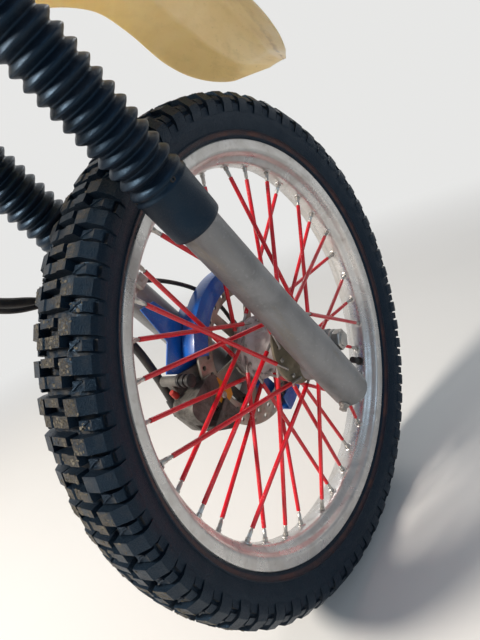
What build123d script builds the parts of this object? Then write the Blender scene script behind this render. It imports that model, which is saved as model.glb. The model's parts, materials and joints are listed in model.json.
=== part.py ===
# Front end of a dual sport motorcycle: spoked wheel, telescopic fork, disc brake and mudguard.
# The origin is the centre of the lower bearing seat on the steering stem.
# X points forward, Y to the rider's left and Z up. Lengths are millimetres.

import os
from math import cos, pi, radians, sin, sqrt, tan

from build123d import *

os.makedirs("parts", exist_ok=True)

# Steering geometry, in the fork's own frame: x ahead of the stem, y left, z up along the stem
rake = 27.5
leg_x = 35.0
leg_y = 88.0
axle_lead = 33.0
axle_drop = 550.0
axle_x = leg_x + axle_lead

# Clearances
running_gap = 0.05

# Clamps and stem
lower_clamp_thickness = 35.0
upper_clamp_z = 150.0
upper_clamp_thickness = 26.0
clamp_eye_radius = 31.0
clamp_boss_radius = 25.0
clamp_slit = 3.0
stem_foot_radius = 16.5
stem_seat_radius = 15.0
stem_seat_length = 14.0
stem_radius = 13.0
stem_thread_radius = 12.0
stem_top = upper_clamp_z + upper_clamp_thickness + 16.0
stem_nut_radius = 16.0
stem_nut_height = 11.0

# Fork legs
stanchion_radius = 18.5
stanchion_depth = 95.0
fork_cap_radius = 16.0
fork_cap_height = 12.0
slider_radius = 22.0
slider_foot_radius = 24.5
slider_head_radius = 25.0
slider_top = -250.0
slider_foot_drop = 74.0
slider_bottom = -axle_drop - slider_foot_drop
slider_waist_rise = 110.0
slider_waist_z = -axle_drop + slider_waist_rise
slider_head_length = 45.0
slider_foot_round = 9.0
gaiter_bottom = -294.0
gaiter_top = -37.0
gaiter_cuff_length = 66.0
gaiter_cuff_radius = 27.4
gaiter_tip_radius = 28.6
gaiter_valley_radius = 22.6
gaiter_wall = 1.6
gaiter_ribs = 14

# Axle
axle_radius = 8.5
axle_boss_radius = 14.0
axle_boss_flare = 7.0
axle_boss_inner = 64.0
axle_boss_outer = 92.0
axle_nut_radius = 13.5
axle_nut_length = 14.0
washer_thickness = 3.0
axle_head_radius = 14.0
axle_head_length = 8.0
axle_seat_radius = 15.0
spacer_radius = 13.0
hub_half_width = 46.0
drive_radius = 24.0
drive_inner = 53.0
drive_nose_radius = 14.0

# Wheel
rim_well_radius = 253.5
rim_depth = 27.2
rim_radius = rim_well_radius + rim_depth
rim_half_width = 28.0
rim_wall = 3.2
tyre_height = 63.3
tyre_radius = rim_radius + tyre_height
tyre_half_width = 46.0
lug_depth = 13.0
lug_pitches = 61
first_lug_angle = 134.5
spoke_count = 36
spoke_phase = 119.07
spoke_sweep = 60.0
spoke_radius = 1.8
sleeve_radius = 2.95
sleeve_start = 22.0
sleeve_end = 24.0
nipple_radius = 3.4
nipple_length = 15.0
nipple_spread = 2.3
nipple_lean = 2.4
left_flange_circle = 39.0
left_flange_y = 26.0
right_flange_circle = 45.0
right_flange_y = -35.5
flange_thickness = 5.0
left_flange_edge = 6.5
right_flange_edge = 8.5
hub_barrel_radius = 23.0
wire_lift = 2.0

# Brake
disc_radius = 110.0
disc_band = 28.0
disc_thickness = 3.5
disc_y = 44.0
disc_bolt_circle = 34.0
disc_bore_radius = 21.0
pad_thickness = 4.0
pad_gap = 0.3
pad_inset = 15.0
running_clearance = 5.0
caliper_rise = 33.0
caliper_inner_y = 33.0
caliper_outer_y = 72.0
piston_radius = 13.5
piston_spread = 18.0
piston_wall = 4.0
bridge_thickness = 34.0
finger_gap = 18.0
pin_radius = 7.0
bracket_inner = 51.5
bracket_outer = 57.5
bracket_lug_outer = 72.0
bracket_lug_reach = 42.0
bracket_lug_rise = 16.0
bracket_lug_spacing = 92.0
bracket_lug_height = 16.0

# Guards, mudguard, hose and cable
guard_margin = 14.0
guard_radius = disc_radius + guard_margin
guard_lip = 26.0
guard_wall = 2.2
guard_inner_y = 33.8
guard_outer_y = 56.0
guard_pad_x = 14.0
cover_outer_y = 62.0
cover_wall = 2.5
mudguard_wall = 3.0
crown_share = 0.5
hose_radius = 6.0
cable_radius = 3.0

# Frames: the fork's own frame, the wheel centre and the wheel's two section planes
fork_plane = Plane(
    origin=(0, 0, 0),
    x_dir=(cos(radians(rake)), 0, sin(radians(rake))),
    z_dir=(-sin(radians(rake)), 0, cos(radians(rake))),
)
wheel_centre = fork_plane.from_local_coords(Vector(axle_x, 0, -axle_drop))
wheel_section = Plane(origin=wheel_centre)
spin_axis = Axis(wheel_centre, (0, 1, 0))


def leg_section(y):
    """Plane through a leg's axis: x away from the axis, y up along it, zero at the stem's height."""
    centre = fork_plane.from_local_coords(Vector(leg_x, y, 0))
    return Plane(origin=centre, x_dir=fork_plane.x_dir, z_dir=(0, -1, 0))


def side_plane(y):
    """Plane square to the axle, seen from the right: x forward, y up, zero at the wheel centre."""
    return Plane(origin=wheel_centre + Vector(0, y, 0), x_dir=(1, 0, 0), z_dir=(0, -1, 0))


def leg_side_plane(y):
    """Plane square to the axle: x ahead of the leg's axis, y up along the leg from the axle."""
    centre = fork_plane.from_local_coords(Vector(leg_x, y, -axle_drop))
    return Plane(origin=centre, x_dir=fork_plane.x_dir, z_dir=(0, -1, 0))


def wheel_point(radius, angle, y):
    """Point at a radius and an angle from straight ahead, turning up, at y along the axle."""
    return wheel_centre + Vector(radius * cos(radians(angle)), y, radius * sin(radians(angle)))


# Steering stem
with BuildPart(fork_plane) as steering_stem:
    with Locations((0, 0, -lower_clamp_thickness)):
        Cylinder(
            stem_foot_radius,
            lower_clamp_thickness,
            align=(Align.CENTER, Align.CENTER, Align.MIN),
        )
    Cylinder(stem_seat_radius, stem_seat_length, align=(Align.CENTER, Align.CENTER, Align.MIN))
    with Locations((0, 0, stem_seat_length)):
        Cylinder(
            stem_radius,
            upper_clamp_z - stem_seat_length,
            align=(Align.CENTER, Align.CENTER, Align.MIN),
        )
    with Locations((0, 0, upper_clamp_z)):
        Cylinder(
            stem_thread_radius,
            stem_top - upper_clamp_z,
            align=(Align.CENTER, Align.CENTER, Align.MIN),
        )
steering_stem.part.label = "steering_stem"
export_step(steering_stem.part, "parts/steering_stem.step")

# The two fork clamps: name, underside height, thickness and bore for the stem
clamps = (
    ("lower_clamp", -lower_clamp_thickness, lower_clamp_thickness, stem_foot_radius),
    ("upper_clamp", upper_clamp_z, upper_clamp_thickness, stem_thread_radius),
)
clamp_parts = {}
for clamp_name, clamp_z, clamp_thickness, stem_bore in clamps:
    with BuildPart(fork_plane) as fork_clamp:
        # An arm from the stem's boss to each leg's eye
        for arm_y in (leg_y, -leg_y):
            with BuildSketch(fork_plane.offset(clamp_z)):
                Circle(clamp_boss_radius)
                with Locations((leg_x, arm_y)):
                    Circle(clamp_eye_radius)
                make_hull()
            extrude(amount=clamp_thickness)
        with BuildSketch(fork_plane.offset(clamp_z)):
            Circle(stem_bore)
            with Locations((leg_x, leg_y), (leg_x, -leg_y)):
                Circle(stanchion_radius)
            with Locations((-2, leg_y - 20), (-2, 20 - leg_y)):
                Rectangle(40, clamp_slit)
        extrude(amount=clamp_thickness, mode=Mode.SUBTRACT)
    fork_clamp.part.label = clamp_name
    export_step(fork_clamp.part, f"parts/{clamp_name}.step")
    clamp_parts[clamp_name] = fork_clamp.part

# Nut on the steering stem
with BuildPart(fork_plane) as stem_nut:
    with BuildSketch(fork_plane.offset(upper_clamp_z + upper_clamp_thickness)):
        RegularPolygon(stem_nut_radius, 6)
        Circle(stem_thread_radius, mode=Mode.SUBTRACT)
    extrude(amount=stem_nut_height)
stem_nut.part.label = "stem_nut"
export_step(stem_nut.part, "parts/stem_nut.step")

# Two cradles for a handlebar on the upper clamp
bar_radius = 11.1
bar_height = 34.0
bar_x = 12.0
with BuildPart(fork_plane) as bar_clamps:
    cradle_base = upper_clamp_z + upper_clamp_thickness
    for cradle_y in (leg_y / 2, -leg_y / 2):
        with BuildSketch(
            Plane(
                origin=fork_plane.from_local_coords(Vector(bar_x, cradle_y + 12, cradle_base)),
                x_dir=fork_plane.x_dir,
                z_dir=(0, -1, 0),
            )
        ):
            with Locations((0, bar_height / 2)):
                Rectangle(34, bar_height)
            with Locations((0, bar_height)):
                Rectangle(44, 18)
            with Locations((0, bar_height)):
                Circle(19)
            with Locations((0, bar_height)):
                Circle(bar_radius, mode=Mode.SUBTRACT)
        extrude(amount=24)
bar_clamps.part.label = "handlebar_clamps"
export_step(bar_clamps.part, "parts/handlebar_clamps.step")

# The pieces of each leg: side name and distance along y
legs = (("left", leg_y), ("right", -leg_y))
stanchion_bottom = slider_top - stanchion_depth
stanchion_top = upper_clamp_z + upper_clamp_thickness + 6.0
for side, y in legs:
    section = leg_section(y)
    leg_axis = Axis(section.origin, fork_plane.z_dir)

    # Stanchion, from inside the slider to above the upper clamp
    with BuildPart(fork_plane) as stanchion:
        with Locations((leg_x, y, stanchion_bottom)):
            Cylinder(
                stanchion_radius,
                stanchion_top - stanchion_bottom,
                align=(Align.CENTER, Align.CENTER, Align.MIN),
            )
    stanchion.part.label = f"stanchion_{side}"
    export_step(stanchion.part, f"parts/stanchion_{side}.step")

    # Hexagon cap on the stanchion
    with BuildPart(fork_plane) as fork_cap:
        cap_plane = Plane(
            origin=fork_plane.from_local_coords(Vector(leg_x, y, stanchion_top)),
            x_dir=fork_plane.x_dir,
            z_dir=fork_plane.z_dir,
        )
        with BuildSketch(cap_plane):
            Circle(stanchion_radius)
        extrude(amount=3)
        with BuildSketch(cap_plane.offset(3)):
            RegularPolygon(fork_cap_radius, 6)
        extrude(amount=fork_cap_height)
    fork_cap.part.label = f"fork_cap_{side}"
    export_step(fork_cap.part, f"parts/fork_cap_{side}.step")

    # Gaiter: a smooth cuff on the slider, bellows above it and a neck on the stanchion
    cuff_top = gaiter_bottom + gaiter_cuff_length
    bellows_top = gaiter_top - 8.0
    pitch = (bellows_top - cuff_top) / gaiter_ribs
    bellows = []
    for rib in range(gaiter_ribs):
        bellows.append((gaiter_valley_radius, cuff_top + rib * pitch))
        bellows.append((gaiter_tip_radius, cuff_top + (rib + 0.42) * pitch))
        bellows.append((gaiter_tip_radius, cuff_top + (rib + 0.62) * pitch))
    with BuildPart() as gaiter:
        with BuildSketch(section):
            with BuildLine():
                Polyline(
                    (slider_head_radius, gaiter_bottom),
                    (gaiter_cuff_radius - 1.5, gaiter_bottom),
                    (gaiter_cuff_radius, gaiter_bottom + 5),
                    (gaiter_cuff_radius + 0.8, cuff_top - 6),
                    *bellows,
                    (gaiter_valley_radius, bellows_top),
                    (gaiter_valley_radius, gaiter_top),
                    (stanchion_radius, gaiter_top),
                    (stanchion_radius, bellows_top),
                    (gaiter_valley_radius - gaiter_wall, bellows_top),
                    (gaiter_valley_radius - gaiter_wall, cuff_top),
                    (slider_head_radius, slider_top + 1),
                    close=True,
                )
            make_face()
        revolve(axis=leg_axis)
    gaiter.part.label = f"gaiter_{side}"
    export_step(gaiter.part, f"parts/gaiter_{side}.step")

    # Slider with a rounded foot and an axle boss that stands ahead of the leg
    outward = 1 if y > 0 else -1
    foot_edge = slider_foot_radius - slider_foot_round
    with BuildPart() as slider:
        with BuildSketch(section):
            with BuildLine():
                Line((0, slider_bottom), (foot_edge, slider_bottom))
                CenterArc((foot_edge, slider_bottom + slider_foot_round), slider_foot_round, -90, 90)
                Polyline(
                    (slider_foot_radius, slider_bottom + slider_foot_round),
                    (slider_foot_radius, -axle_drop + 40),
                    (slider_radius, slider_waist_z),
                    (slider_radius, slider_top - slider_head_length),
                    (slider_head_radius, slider_top - slider_head_length + 4),
                    (slider_head_radius, slider_top),
                    (stanchion_radius, slider_top),
                    (stanchion_radius, stanchion_bottom),
                    (0, stanchion_bottom),
                    (0, slider_bottom),
                )
            make_face()
        revolve(axis=leg_axis)
        # Boss that narrows outwards in a hollow curve
        boss_root = axle_boss_radius + axle_boss_flare
        boss_neck = axle_boss_inner + 0.6 * (axle_boss_outer - axle_boss_inner)
        with BuildSketch(wheel_section):
            with BuildLine():
                Line((0, outward * axle_boss_inner), (boss_root, outward * axle_boss_inner))
                ThreePointArc(
                    (boss_root, outward * axle_boss_inner),
                    (axle_boss_radius + 0.25 * axle_boss_flare, outward * (axle_boss_inner + boss_neck) / 2),
                    (axle_boss_radius, outward * boss_neck),
                )
                Polyline(
                    (axle_boss_radius, outward * boss_neck),
                    (axle_boss_radius, outward * axle_boss_outer),
                    (0, outward * axle_boss_outer),
                    (0, outward * axle_boss_inner),
                )
            make_face()
        revolve(axis=spin_axis)
        # Web between the boss and the leg
        with BuildSketch(side_plane(outward * axle_boss_inner)):
            Circle(axle_boss_radius + 1)
            with Locations((-axle_lead * cos(radians(rake)), -axle_lead * sin(radians(rake)))):
                Circle(slider_foot_radius - 4)
            make_hull()
        extrude(amount=-outward * (leg_y - axle_boss_inner))
        with Locations(Location(wheel_centre, (90, 0, 0))):
            Cylinder(axle_radius, 3 * leg_y, mode=Mode.SUBTRACT)
        # Round seat for the nut or the head, cut into the front of the leg
        with BuildSketch(side_plane(outward * axle_boss_outer)):
            Circle(axle_seat_radius)
        extrude(amount=-outward * leg_y, mode=Mode.SUBTRACT)
        if side == "left":
            # Two lugs behind the leg that carry the caliper bracket
            for half_spacing in (bracket_lug_spacing / 2, -bracket_lug_spacing / 2):
                with BuildSketch(leg_side_plane(bracket_outer)):
                    with Locations((-bracket_lug_reach / 2, bracket_lug_rise + half_spacing)):
                        SlotOverall(bracket_lug_reach, bracket_lug_height)
                extrude(amount=-(bracket_lug_outer - bracket_outer))
    slider.part.label = f"slider_{side}"
    export_step(slider.part, f"parts/slider_{side}.step")

# Axle with its head at the left
axle_right_end = -(axle_boss_outer + axle_nut_length + 1.5)
with BuildPart() as axle:
    with BuildSketch(wheel_section):
        with BuildLine():
            Polyline(
                (0, axle_right_end),
                (axle_radius - 1, axle_right_end),
                (axle_radius, axle_right_end + 1),
                (axle_radius, axle_boss_outer),
                (axle_head_radius, axle_boss_outer),
                (axle_head_radius, axle_boss_outer + axle_head_length),
                (0, axle_boss_outer + axle_head_length),
                close=True,
            )
        make_face()
    revolve(axis=spin_axis)
axle.part.label = "axle"
export_step(axle.part, "parts/axle.step")

# Axle nut at the right: a washer, then a hexagon with its corners eased
with BuildPart() as axle_nut:
    with BuildSketch(side_plane(-axle_boss_outer)):
        Circle(axle_nut_radius + 0.5)
    extrude(amount=washer_thickness)
    with BuildSketch(side_plane(-axle_boss_outer - washer_thickness)):
        RegularPolygon(axle_nut_radius, 6)
    extrude(amount=axle_nut_length - washer_thickness)
    chamfer(axle_nut.faces().sort_by(Axis.Y)[0].edges(), 1.2)
    with BuildSketch(side_plane(-axle_boss_outer)):
        Circle(axle_radius)
    extrude(amount=axle_nut_length, mode=Mode.SUBTRACT)
axle_nut.part.label = "axle_nut"
export_step(axle_nut.part, "parts/axle_nut.step")

# Spacer between the hub and the right leg
with BuildPart() as axle_spacer:
    with BuildSketch(side_plane(-hub_half_width - 1)):
        Circle(spacer_radius)
        Circle(axle_radius, mode=Mode.SUBTRACT)
    extrude(amount=axle_boss_inner - hub_half_width - 1)
axle_spacer.part.label = "axle_spacer"
export_step(axle_spacer.part, "parts/axle_spacer.step")

# Speedometer drive: a round body, a nose towards the hub and a socket for the cable
cable_start = Vector(6, 58.5, 35)
cable_rise = Vector(2, 62, 75) - cable_start
socket_length = 16.0
with BuildPart() as speedometer_drive:
    with BuildSketch(side_plane(axle_boss_inner)):
        Circle(drive_radius)
    extrude(amount=axle_boss_inner - drive_inner)
    with BuildSketch(side_plane(axle_boss_inner)):
        Circle(drive_nose_radius)
    extrude(amount=axle_boss_inner - hub_half_width - 1)
    with BuildSketch(Plane(origin=wheel_centre + cable_start, z_dir=cable_rise)):
        Circle(cable_radius + 2.4)
    extrude(amount=-socket_length)
    with BuildSketch(Plane(origin=wheel_centre + cable_start, z_dir=cable_rise)):
        Circle(cable_radius + 2.4)
        Circle(cable_radius, mode=Mode.SUBTRACT)
    extrude(amount=socket_length / 2)
    with BuildSketch(side_plane(axle_boss_inner)):
        Circle(axle_radius)
    extrude(amount=axle_boss_inner, mode=Mode.SUBTRACT)
speedometer_drive.part.label = "speedometer_drive"
export_step(speedometer_drive.part, "parts/speedometer_drive.step")

# Hub: a barrel with a flange for each side's spokes and a boss for the disc
left_face = left_flange_y + flange_thickness / 2
right_face = right_flange_y - flange_thickness / 2
left_edge = left_flange_circle + left_flange_edge
right_edge = right_flange_circle + right_flange_edge
disc_face = disc_y - disc_thickness / 2
with BuildPart() as hub:
    with BuildSketch(wheel_section):
        with BuildLine():
            Polyline(
                (axle_radius + running_gap, -hub_half_width),
                (17, -hub_half_width),
                (20, -hub_half_width + 4),
                (right_edge - 14, right_face + 2),
                (right_edge - 6, right_face),
                (right_edge, right_face + 1.5),
                (right_edge, right_face + flange_thickness),
                (right_edge - 10, right_face + flange_thickness),
                (hub_barrel_radius + 5, right_face + 14),
                (hub_barrel_radius, 0),
                (hub_barrel_radius + 5, left_face - 12),
                (left_edge - 9, left_face - flange_thickness),
                (left_edge, left_face - flange_thickness),
                (left_edge, left_face),
                (left_edge - 10, left_face),
                (disc_bolt_circle + 5, disc_face - 4),
                (disc_bolt_circle + 5, disc_face),
                (20, disc_face),
                (18, hub_half_width),
                (axle_radius + running_gap, hub_half_width),
                close=True,
            )
        make_face()
    revolve(axis=spin_axis)
    for circle, flange_y, phase in (
        (left_flange_circle, left_flange_y, spoke_phase - spoke_sweep + 30),
        (right_flange_circle, right_flange_y, spoke_phase - spoke_sweep + 40),
    ):
        with BuildSketch(side_plane(flange_y)):
            with PolarLocations(circle, spoke_count // 2, start_angle=phase):
                Circle(spoke_radius)
        extrude(amount=flange_thickness, both=True, mode=Mode.SUBTRACT)
hub.part.label = "hub"
export_step(hub.part, "parts/hub.step")

# Rim: a channel with rolled edges, drawn on one side of the wheel's mid plane and mirrored
outer_contour = (
    (rim_well_radius, 0),
    (rim_well_radius + 0.03 * rim_depth, 0.34 * rim_half_width),
    (rim_well_radius + 0.33 * rim_depth, 0.57 * rim_half_width),
    (rim_well_radius + 0.42 * rim_depth, 0.88 * rim_half_width),
    (rim_well_radius + 0.55 * rim_depth, 0.98 * rim_half_width),
    (rim_radius, rim_half_width),
)
bead_seat = (rim_radius - 0.57 * rim_depth, 0.55 * rim_half_width)
bead_heel = (rim_radius - 0.46 * rim_depth, rim_half_width - 1.9 * rim_wall)
bead_side = (rim_radius - 0.35 * rim_depth, rim_half_width - 1.2 * rim_wall)
bead_top = (rim_radius, rim_half_width - rim_wall)
well_edge = (rim_well_radius + 1.3 * rim_wall, 0.32 * rim_half_width)
with BuildPart() as rim:
    with BuildSketch(wheel_section):
        with BuildLine():
            Polyline(
                *outer_contour,
                bead_top,
                bead_side,
                bead_heel,
                bead_seat,
                well_edge,
                (rim_well_radius + rim_wall, 0),
                close=True,
            )
        make_face()
        mirror(about=Plane.XZ.offset(-wheel_centre.Y))
    revolve(axis=spin_axis)
rim.part.label = "rim"
export_step(rim.part, "parts/rim.step")


def tyre_section(angle):
    """Plane through the axle at an angle: x away from the axle, y along it, z round the wheel."""
    turn = radians(angle)
    return Plane(origin=wheel_centre, x_dir=(cos(turn), 0, sin(turn)), z_dir=(-sin(turn), 0, cos(turn)))


# Tyre: one pitch of the carcass with its lugs, then a ring of pitches; every face is flat
tread_radius = tyre_radius - lug_depth
pitch_angle = 360 / lug_pitches
pitch_start = first_lug_angle - 0.045 * pitch_angle
carcass = (
    (tread_radius, 0.30 * tyre_half_width),
    (tread_radius - 0.15 * tyre_height, 0.91 * tyre_half_width),
    (rim_radius + 0.32 * tyre_height, 0.87 * tyre_half_width),
    bead_top,
    bead_side,
    bead_seat,
    (tread_radius - 0.12 * tyre_height, 0.6 * tyre_half_width),
)
centre_lug = (
    (tread_radius - 2, 0.47 * tyre_half_width),
    (tyre_radius, 0.43 * tyre_half_width),
    (tyre_radius, -0.43 * tyre_half_width),
    (tread_radius - 2, -0.47 * tyre_half_width),
)
side_lug = (
    (tread_radius - 5, 0.36 * tyre_half_width),
    (tyre_radius - 1.8, 0.38 * tyre_half_width),
    (tyre_radius - 5, 0.75 * tyre_half_width),
    (tyre_radius - 1.7 * lug_depth, tyre_half_width),
    (tyre_radius - 2.8 * lug_depth, 0.87 * tyre_half_width),
)
other_side_lug = tuple((radius, -across) for radius, across in side_lug)
# Columns: outline, start and end as shares of the pitch
lugs = ((centre_lug, 0.37, 0.79), (side_lug, 0.0, 0.46), (other_side_lug, 0.0, 0.46))
with BuildPart() as tyre_pitch:
    with BuildSketch(tyre_section(pitch_start + pitch_angle / 2)):
        with BuildLine():
            Polyline(*carcass, *((radius, -across) for radius, across in reversed(carcass)), close=True)
        make_face()
    extrude(amount=tyre_radius * tan(radians(pitch_angle)), both=True)
    for outline, lug_start, lug_end in lugs:
        with BuildSketch(tyre_section(first_lug_angle + pitch_angle * (lug_start + lug_end) / 2)):
            with BuildLine():
                Polyline(*outline, close=True)
            make_face()
        extrude(amount=tyre_radius * radians(pitch_angle) * (lug_end - lug_start) / 2, both=True)
    split(bisect_by=tyre_section(pitch_start), keep=Keep.TOP)
    split(bisect_by=tyre_section(pitch_start + pitch_angle), keep=Keep.BOTTOM)
with BuildPart() as tyre:
    add([tyre_pitch.part.rotate(spin_axis, pitch_angle * turn) for turn in range(lug_pitches)])
tyre.part.label = "tyre"
export_step(tyre.part, "parts/tyre.step")

# Spokes: four families, each repeated every fourth hole
# Columns: first hole, turn from rim to hub, y at the nipple, flange circle, flange y, y of the wire at the hub
left_out = left_face + spoke_radius + wire_lift
left_in = left_face - flange_thickness - spoke_radius
right_out = right_face - spoke_radius - wire_lift
right_in = right_face + flange_thickness + spoke_radius
families = (
    (1, spoke_sweep, nipple_lean + nipple_spread, left_flange_circle, left_flange_y, left_out),
    (3, -spoke_sweep, nipple_lean - nipple_spread, left_flange_circle, left_flange_y, left_in),
    (2, spoke_sweep, -nipple_lean - nipple_spread, right_flange_circle, right_flange_y, right_out),
    (4, -spoke_sweep, -nipple_lean + nipple_spread, right_flange_circle, right_flange_y, right_in),
)
spokes_table = []
for first, sweep_angle, rim_y, circle, flange_y, wire_y in families:
    for hole in range(first, spoke_count + 1, 4):
        rim_angle = spoke_phase + 360 / spoke_count * hole
        rim_end = wheel_point(rim_well_radius, rim_angle, rim_y)
        hub_end = wheel_point(circle, rim_angle + sweep_angle, wire_y)
        spokes_table.append((rim_end, hub_end, flange_y))

with BuildPart() as spokes:
    for rim_end, hub_end, flange_y in spokes_table:
        direction = (hub_end - rim_end).normalized()
        with BuildSketch(Plane(origin=rim_end + direction * nipple_length, z_dir=direction)):
            Circle(spoke_radius)
        extrude(amount=(hub_end - rim_end).length - nipple_length)
        bend = wheel_centre.Y + 2 * flange_y - hub_end.Y
        with BuildSketch(Plane(origin=hub_end, z_dir=(0, 1 if bend > hub_end.Y else -1, 0))):
            Circle(spoke_radius)
        extrude(amount=abs(bend - hub_end.Y))
spokes.part.label = "spokes"
export_step(spokes.part, "parts/spokes.step")

# Coloured sleeves over the spokes
with BuildPart() as spoke_sleeves:
    for rim_end, hub_end, flange_y in spokes_table:
        direction = (hub_end - rim_end).normalized()
        with BuildSketch(Plane(origin=rim_end + direction * sleeve_end, z_dir=direction)):
            Circle(sleeve_radius)
            Circle(spoke_radius, mode=Mode.SUBTRACT)
        extrude(amount=(hub_end - rim_end).length - sleeve_end - sleeve_start)
spoke_sleeves.part.label = "spoke_sleeves"
export_step(spoke_sleeves.part, "parts/spoke_sleeves.step")

# Nipples at the rim
with BuildPart() as nipples:
    for rim_end, hub_end, flange_y in spokes_table:
        direction = (hub_end - rim_end).normalized()
        with BuildSketch(Plane(origin=rim_end + direction * 1.0, z_dir=direction)):
            Circle(nipple_radius)
        extrude(amount=nipple_length - 1.0)
nipples.part.label = "nipples"
export_step(nipples.part, "parts/nipples.step")

# Valve stem with its cap
valve_angle = 324.0
valve_length = 27.0
with BuildPart() as valve_stem:
    valve_plane = Plane(
        origin=wheel_point(rim_well_radius - 0.15, valve_angle, 0),
        x_dir=(0, 1, 0),
        z_dir=(-cos(radians(valve_angle)), 0, -sin(radians(valve_angle))),
    )
    with BuildSketch(valve_plane):
        Circle(7)
    extrude(amount=4)
    with BuildSketch(valve_plane.offset(4)):
        Circle(4)
    extrude(amount=valve_length - 16)
    with BuildSketch(valve_plane.offset(valve_length - 12)):
        Circle(5.5)
    extrude(amount=12)
valve_stem.part.label = "valve_stem"
export_step(valve_stem.part, "parts/valve_stem.step")

# Brake disc: a drilled band on six arms
arm_count = 6
with BuildPart() as brake_disc:
    with BuildSketch(side_plane(disc_y)):
        Circle(disc_radius)
        Circle(disc_radius - disc_band, mode=Mode.SUBTRACT)
        with PolarLocations((disc_radius - disc_band + disc_bolt_circle) / 2, arm_count):
            Rectangle(disc_radius - disc_band - disc_bolt_circle + 8, 13)
        Circle(disc_bolt_circle + 8)
        Circle(disc_bore_radius, mode=Mode.SUBTRACT)
        with PolarLocations(disc_radius - 8, 24):
            Circle(3.2, mode=Mode.SUBTRACT)
        with PolarLocations(disc_radius - 19, 24, start_angle=7.5):
            Circle(3.2, mode=Mode.SUBTRACT)
    extrude(amount=disc_thickness / 2, both=True)
brake_disc.part.label = "brake_disc"
export_step(brake_disc.part, "parts/brake_disc.step")

with BuildPart() as disc_bolts:
    with BuildSketch(side_plane(disc_y + disc_thickness / 2)):
        with PolarLocations(disc_bolt_circle, arm_count, start_angle=30):
            RegularPolygon(5.5, 6)
    extrude(amount=-4)
disc_bolts.part.label = "disc_bolts"
export_step(disc_bolts.part, "parts/disc_bolts.step")

# Brake caliper: a housing for two pistons outside the disc, a bridge over its edge and two fingers inside it
slot_low = disc_y - disc_thickness / 2 - pad_thickness - pad_gap
slot_high = disc_y + disc_thickness / 2 + pad_thickness + pad_gap
pad_ahead = axle_lead - disc_radius + pad_inset
housing_radius = piston_radius + piston_wall
bridge_ahead = axle_lead - disc_radius - running_clearance - bridge_thickness / 3
housing_ahead = -(bracket_lug_reach + 2.5 + housing_radius)
pins = ((housing_ahead - 12, caliper_rise + 59), (housing_ahead, caliper_rise - 63))
# Columns: ahead of the leg's axis, up the leg and radius
housing_corners = (
    (housing_ahead, caliper_rise + piston_spread, housing_radius),
    (housing_ahead, caliper_rise - piston_spread, housing_radius),
    (bridge_ahead, caliper_rise + 25, 0.47 * bridge_thickness),
    (bridge_ahead, caliper_rise - 3, bridge_thickness / 2),
    (housing_ahead - 12, caliper_rise - 35, 0.47 * bridge_thickness),
)
ear_inner_y = caliper_outer_y - 10
ears = ((pins[0], caliper_rise + 25, bracket_outer), (pins[1], caliper_rise - 35, ear_inner_y))
bleeder = (pins[0][0] - 13, caliper_rise + 42)
with BuildPart() as brake_caliper:
    with BuildSketch(leg_side_plane(caliper_outer_y)):
        for ahead, up, radius in housing_corners:
            with Locations((ahead, up)):
                Circle(radius)
        make_hull()
    extrude(amount=caliper_outer_y - caliper_inner_y)
    chamfer(brake_caliper.faces().sort_by(Axis.Y)[-1].edges(), 3)
    # Boss under the bleed screw
    with BuildSketch(fork_plane.offset(bleeder[1] - axle_drop)):
        with Locations((leg_x + bleeder[0], bracket_lug_outer - 7)):
            Circle(5.5)
    extrude(amount=-14)
    # Slot for the disc, room for the pads' plates and the window between the fingers
    with BuildSketch(side_plane(slot_high)):
        Circle(disc_radius + running_clearance)
    extrude(amount=slot_high - slot_low, mode=Mode.SUBTRACT)
    with BuildSketch(side_plane(slot_low)):
        Circle(disc_radius - pad_inset)
    extrude(amount=2 * (slot_low - caliper_inner_y), mode=Mode.SUBTRACT)
    with BuildSketch(leg_side_plane(slot_high)):
        with Locations((pad_ahead - bridge_thickness, caliper_rise)):
            Rectangle(4 * bridge_thickness, finger_gap)
    extrude(amount=slot_high, mode=Mode.SUBTRACT)
    # Piston caps
    for cap_up in (caliper_rise + piston_spread, caliper_rise - piston_spread):
        with BuildSketch(leg_side_plane(caliper_outer_y + 4)):
            with Locations((housing_ahead, cap_up)):
                Circle(piston_radius)
        extrude(amount=6)
    # Ears that slide on the bracket's pins
    for (pin_ahead, pin_up), root, ear_y in ears:
        with BuildSketch(leg_side_plane(caliper_outer_y)):
            with Locations((pin_ahead, pin_up)):
                Circle(pin_radius)
            with Locations((housing_ahead - 12, root)):
                Circle(9)
            make_hull()
        extrude(amount=10)
        with BuildSketch(leg_side_plane(caliper_outer_y + 10)):
            with Locations((pin_ahead, pin_up)):
                Circle(pin_radius)
        extrude(amount=caliper_outer_y + 10 - ear_y)
brake_caliper.part.label = "brake_caliper"
export_step(brake_caliper.part, "parts/brake_caliper.step")

# Brake pads, each with a hole for the pin that holds it
with BuildPart() as brake_pads:
    for pad_side in (slot_high, slot_low + pad_thickness):
        with BuildSketch(leg_side_plane(pad_side)):
            with Locations((pad_ahead + 14, caliper_rise + 17), (pad_ahead + 14, caliper_rise - 14)):
                Circle(6)
            with Locations((pad_ahead - 1, caliper_rise + 16), (pad_ahead - 8, caliper_rise - 12)):
                Circle(6)
            make_hull()
            with Locations((pad_ahead + 4, caliper_rise - 9)):
                Circle(3.2, mode=Mode.SUBTRACT)
        extrude(amount=pad_thickness)
brake_pads.part.label = "brake_pads"
export_step(brake_pads.part, "parts/brake_pads.step")

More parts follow.
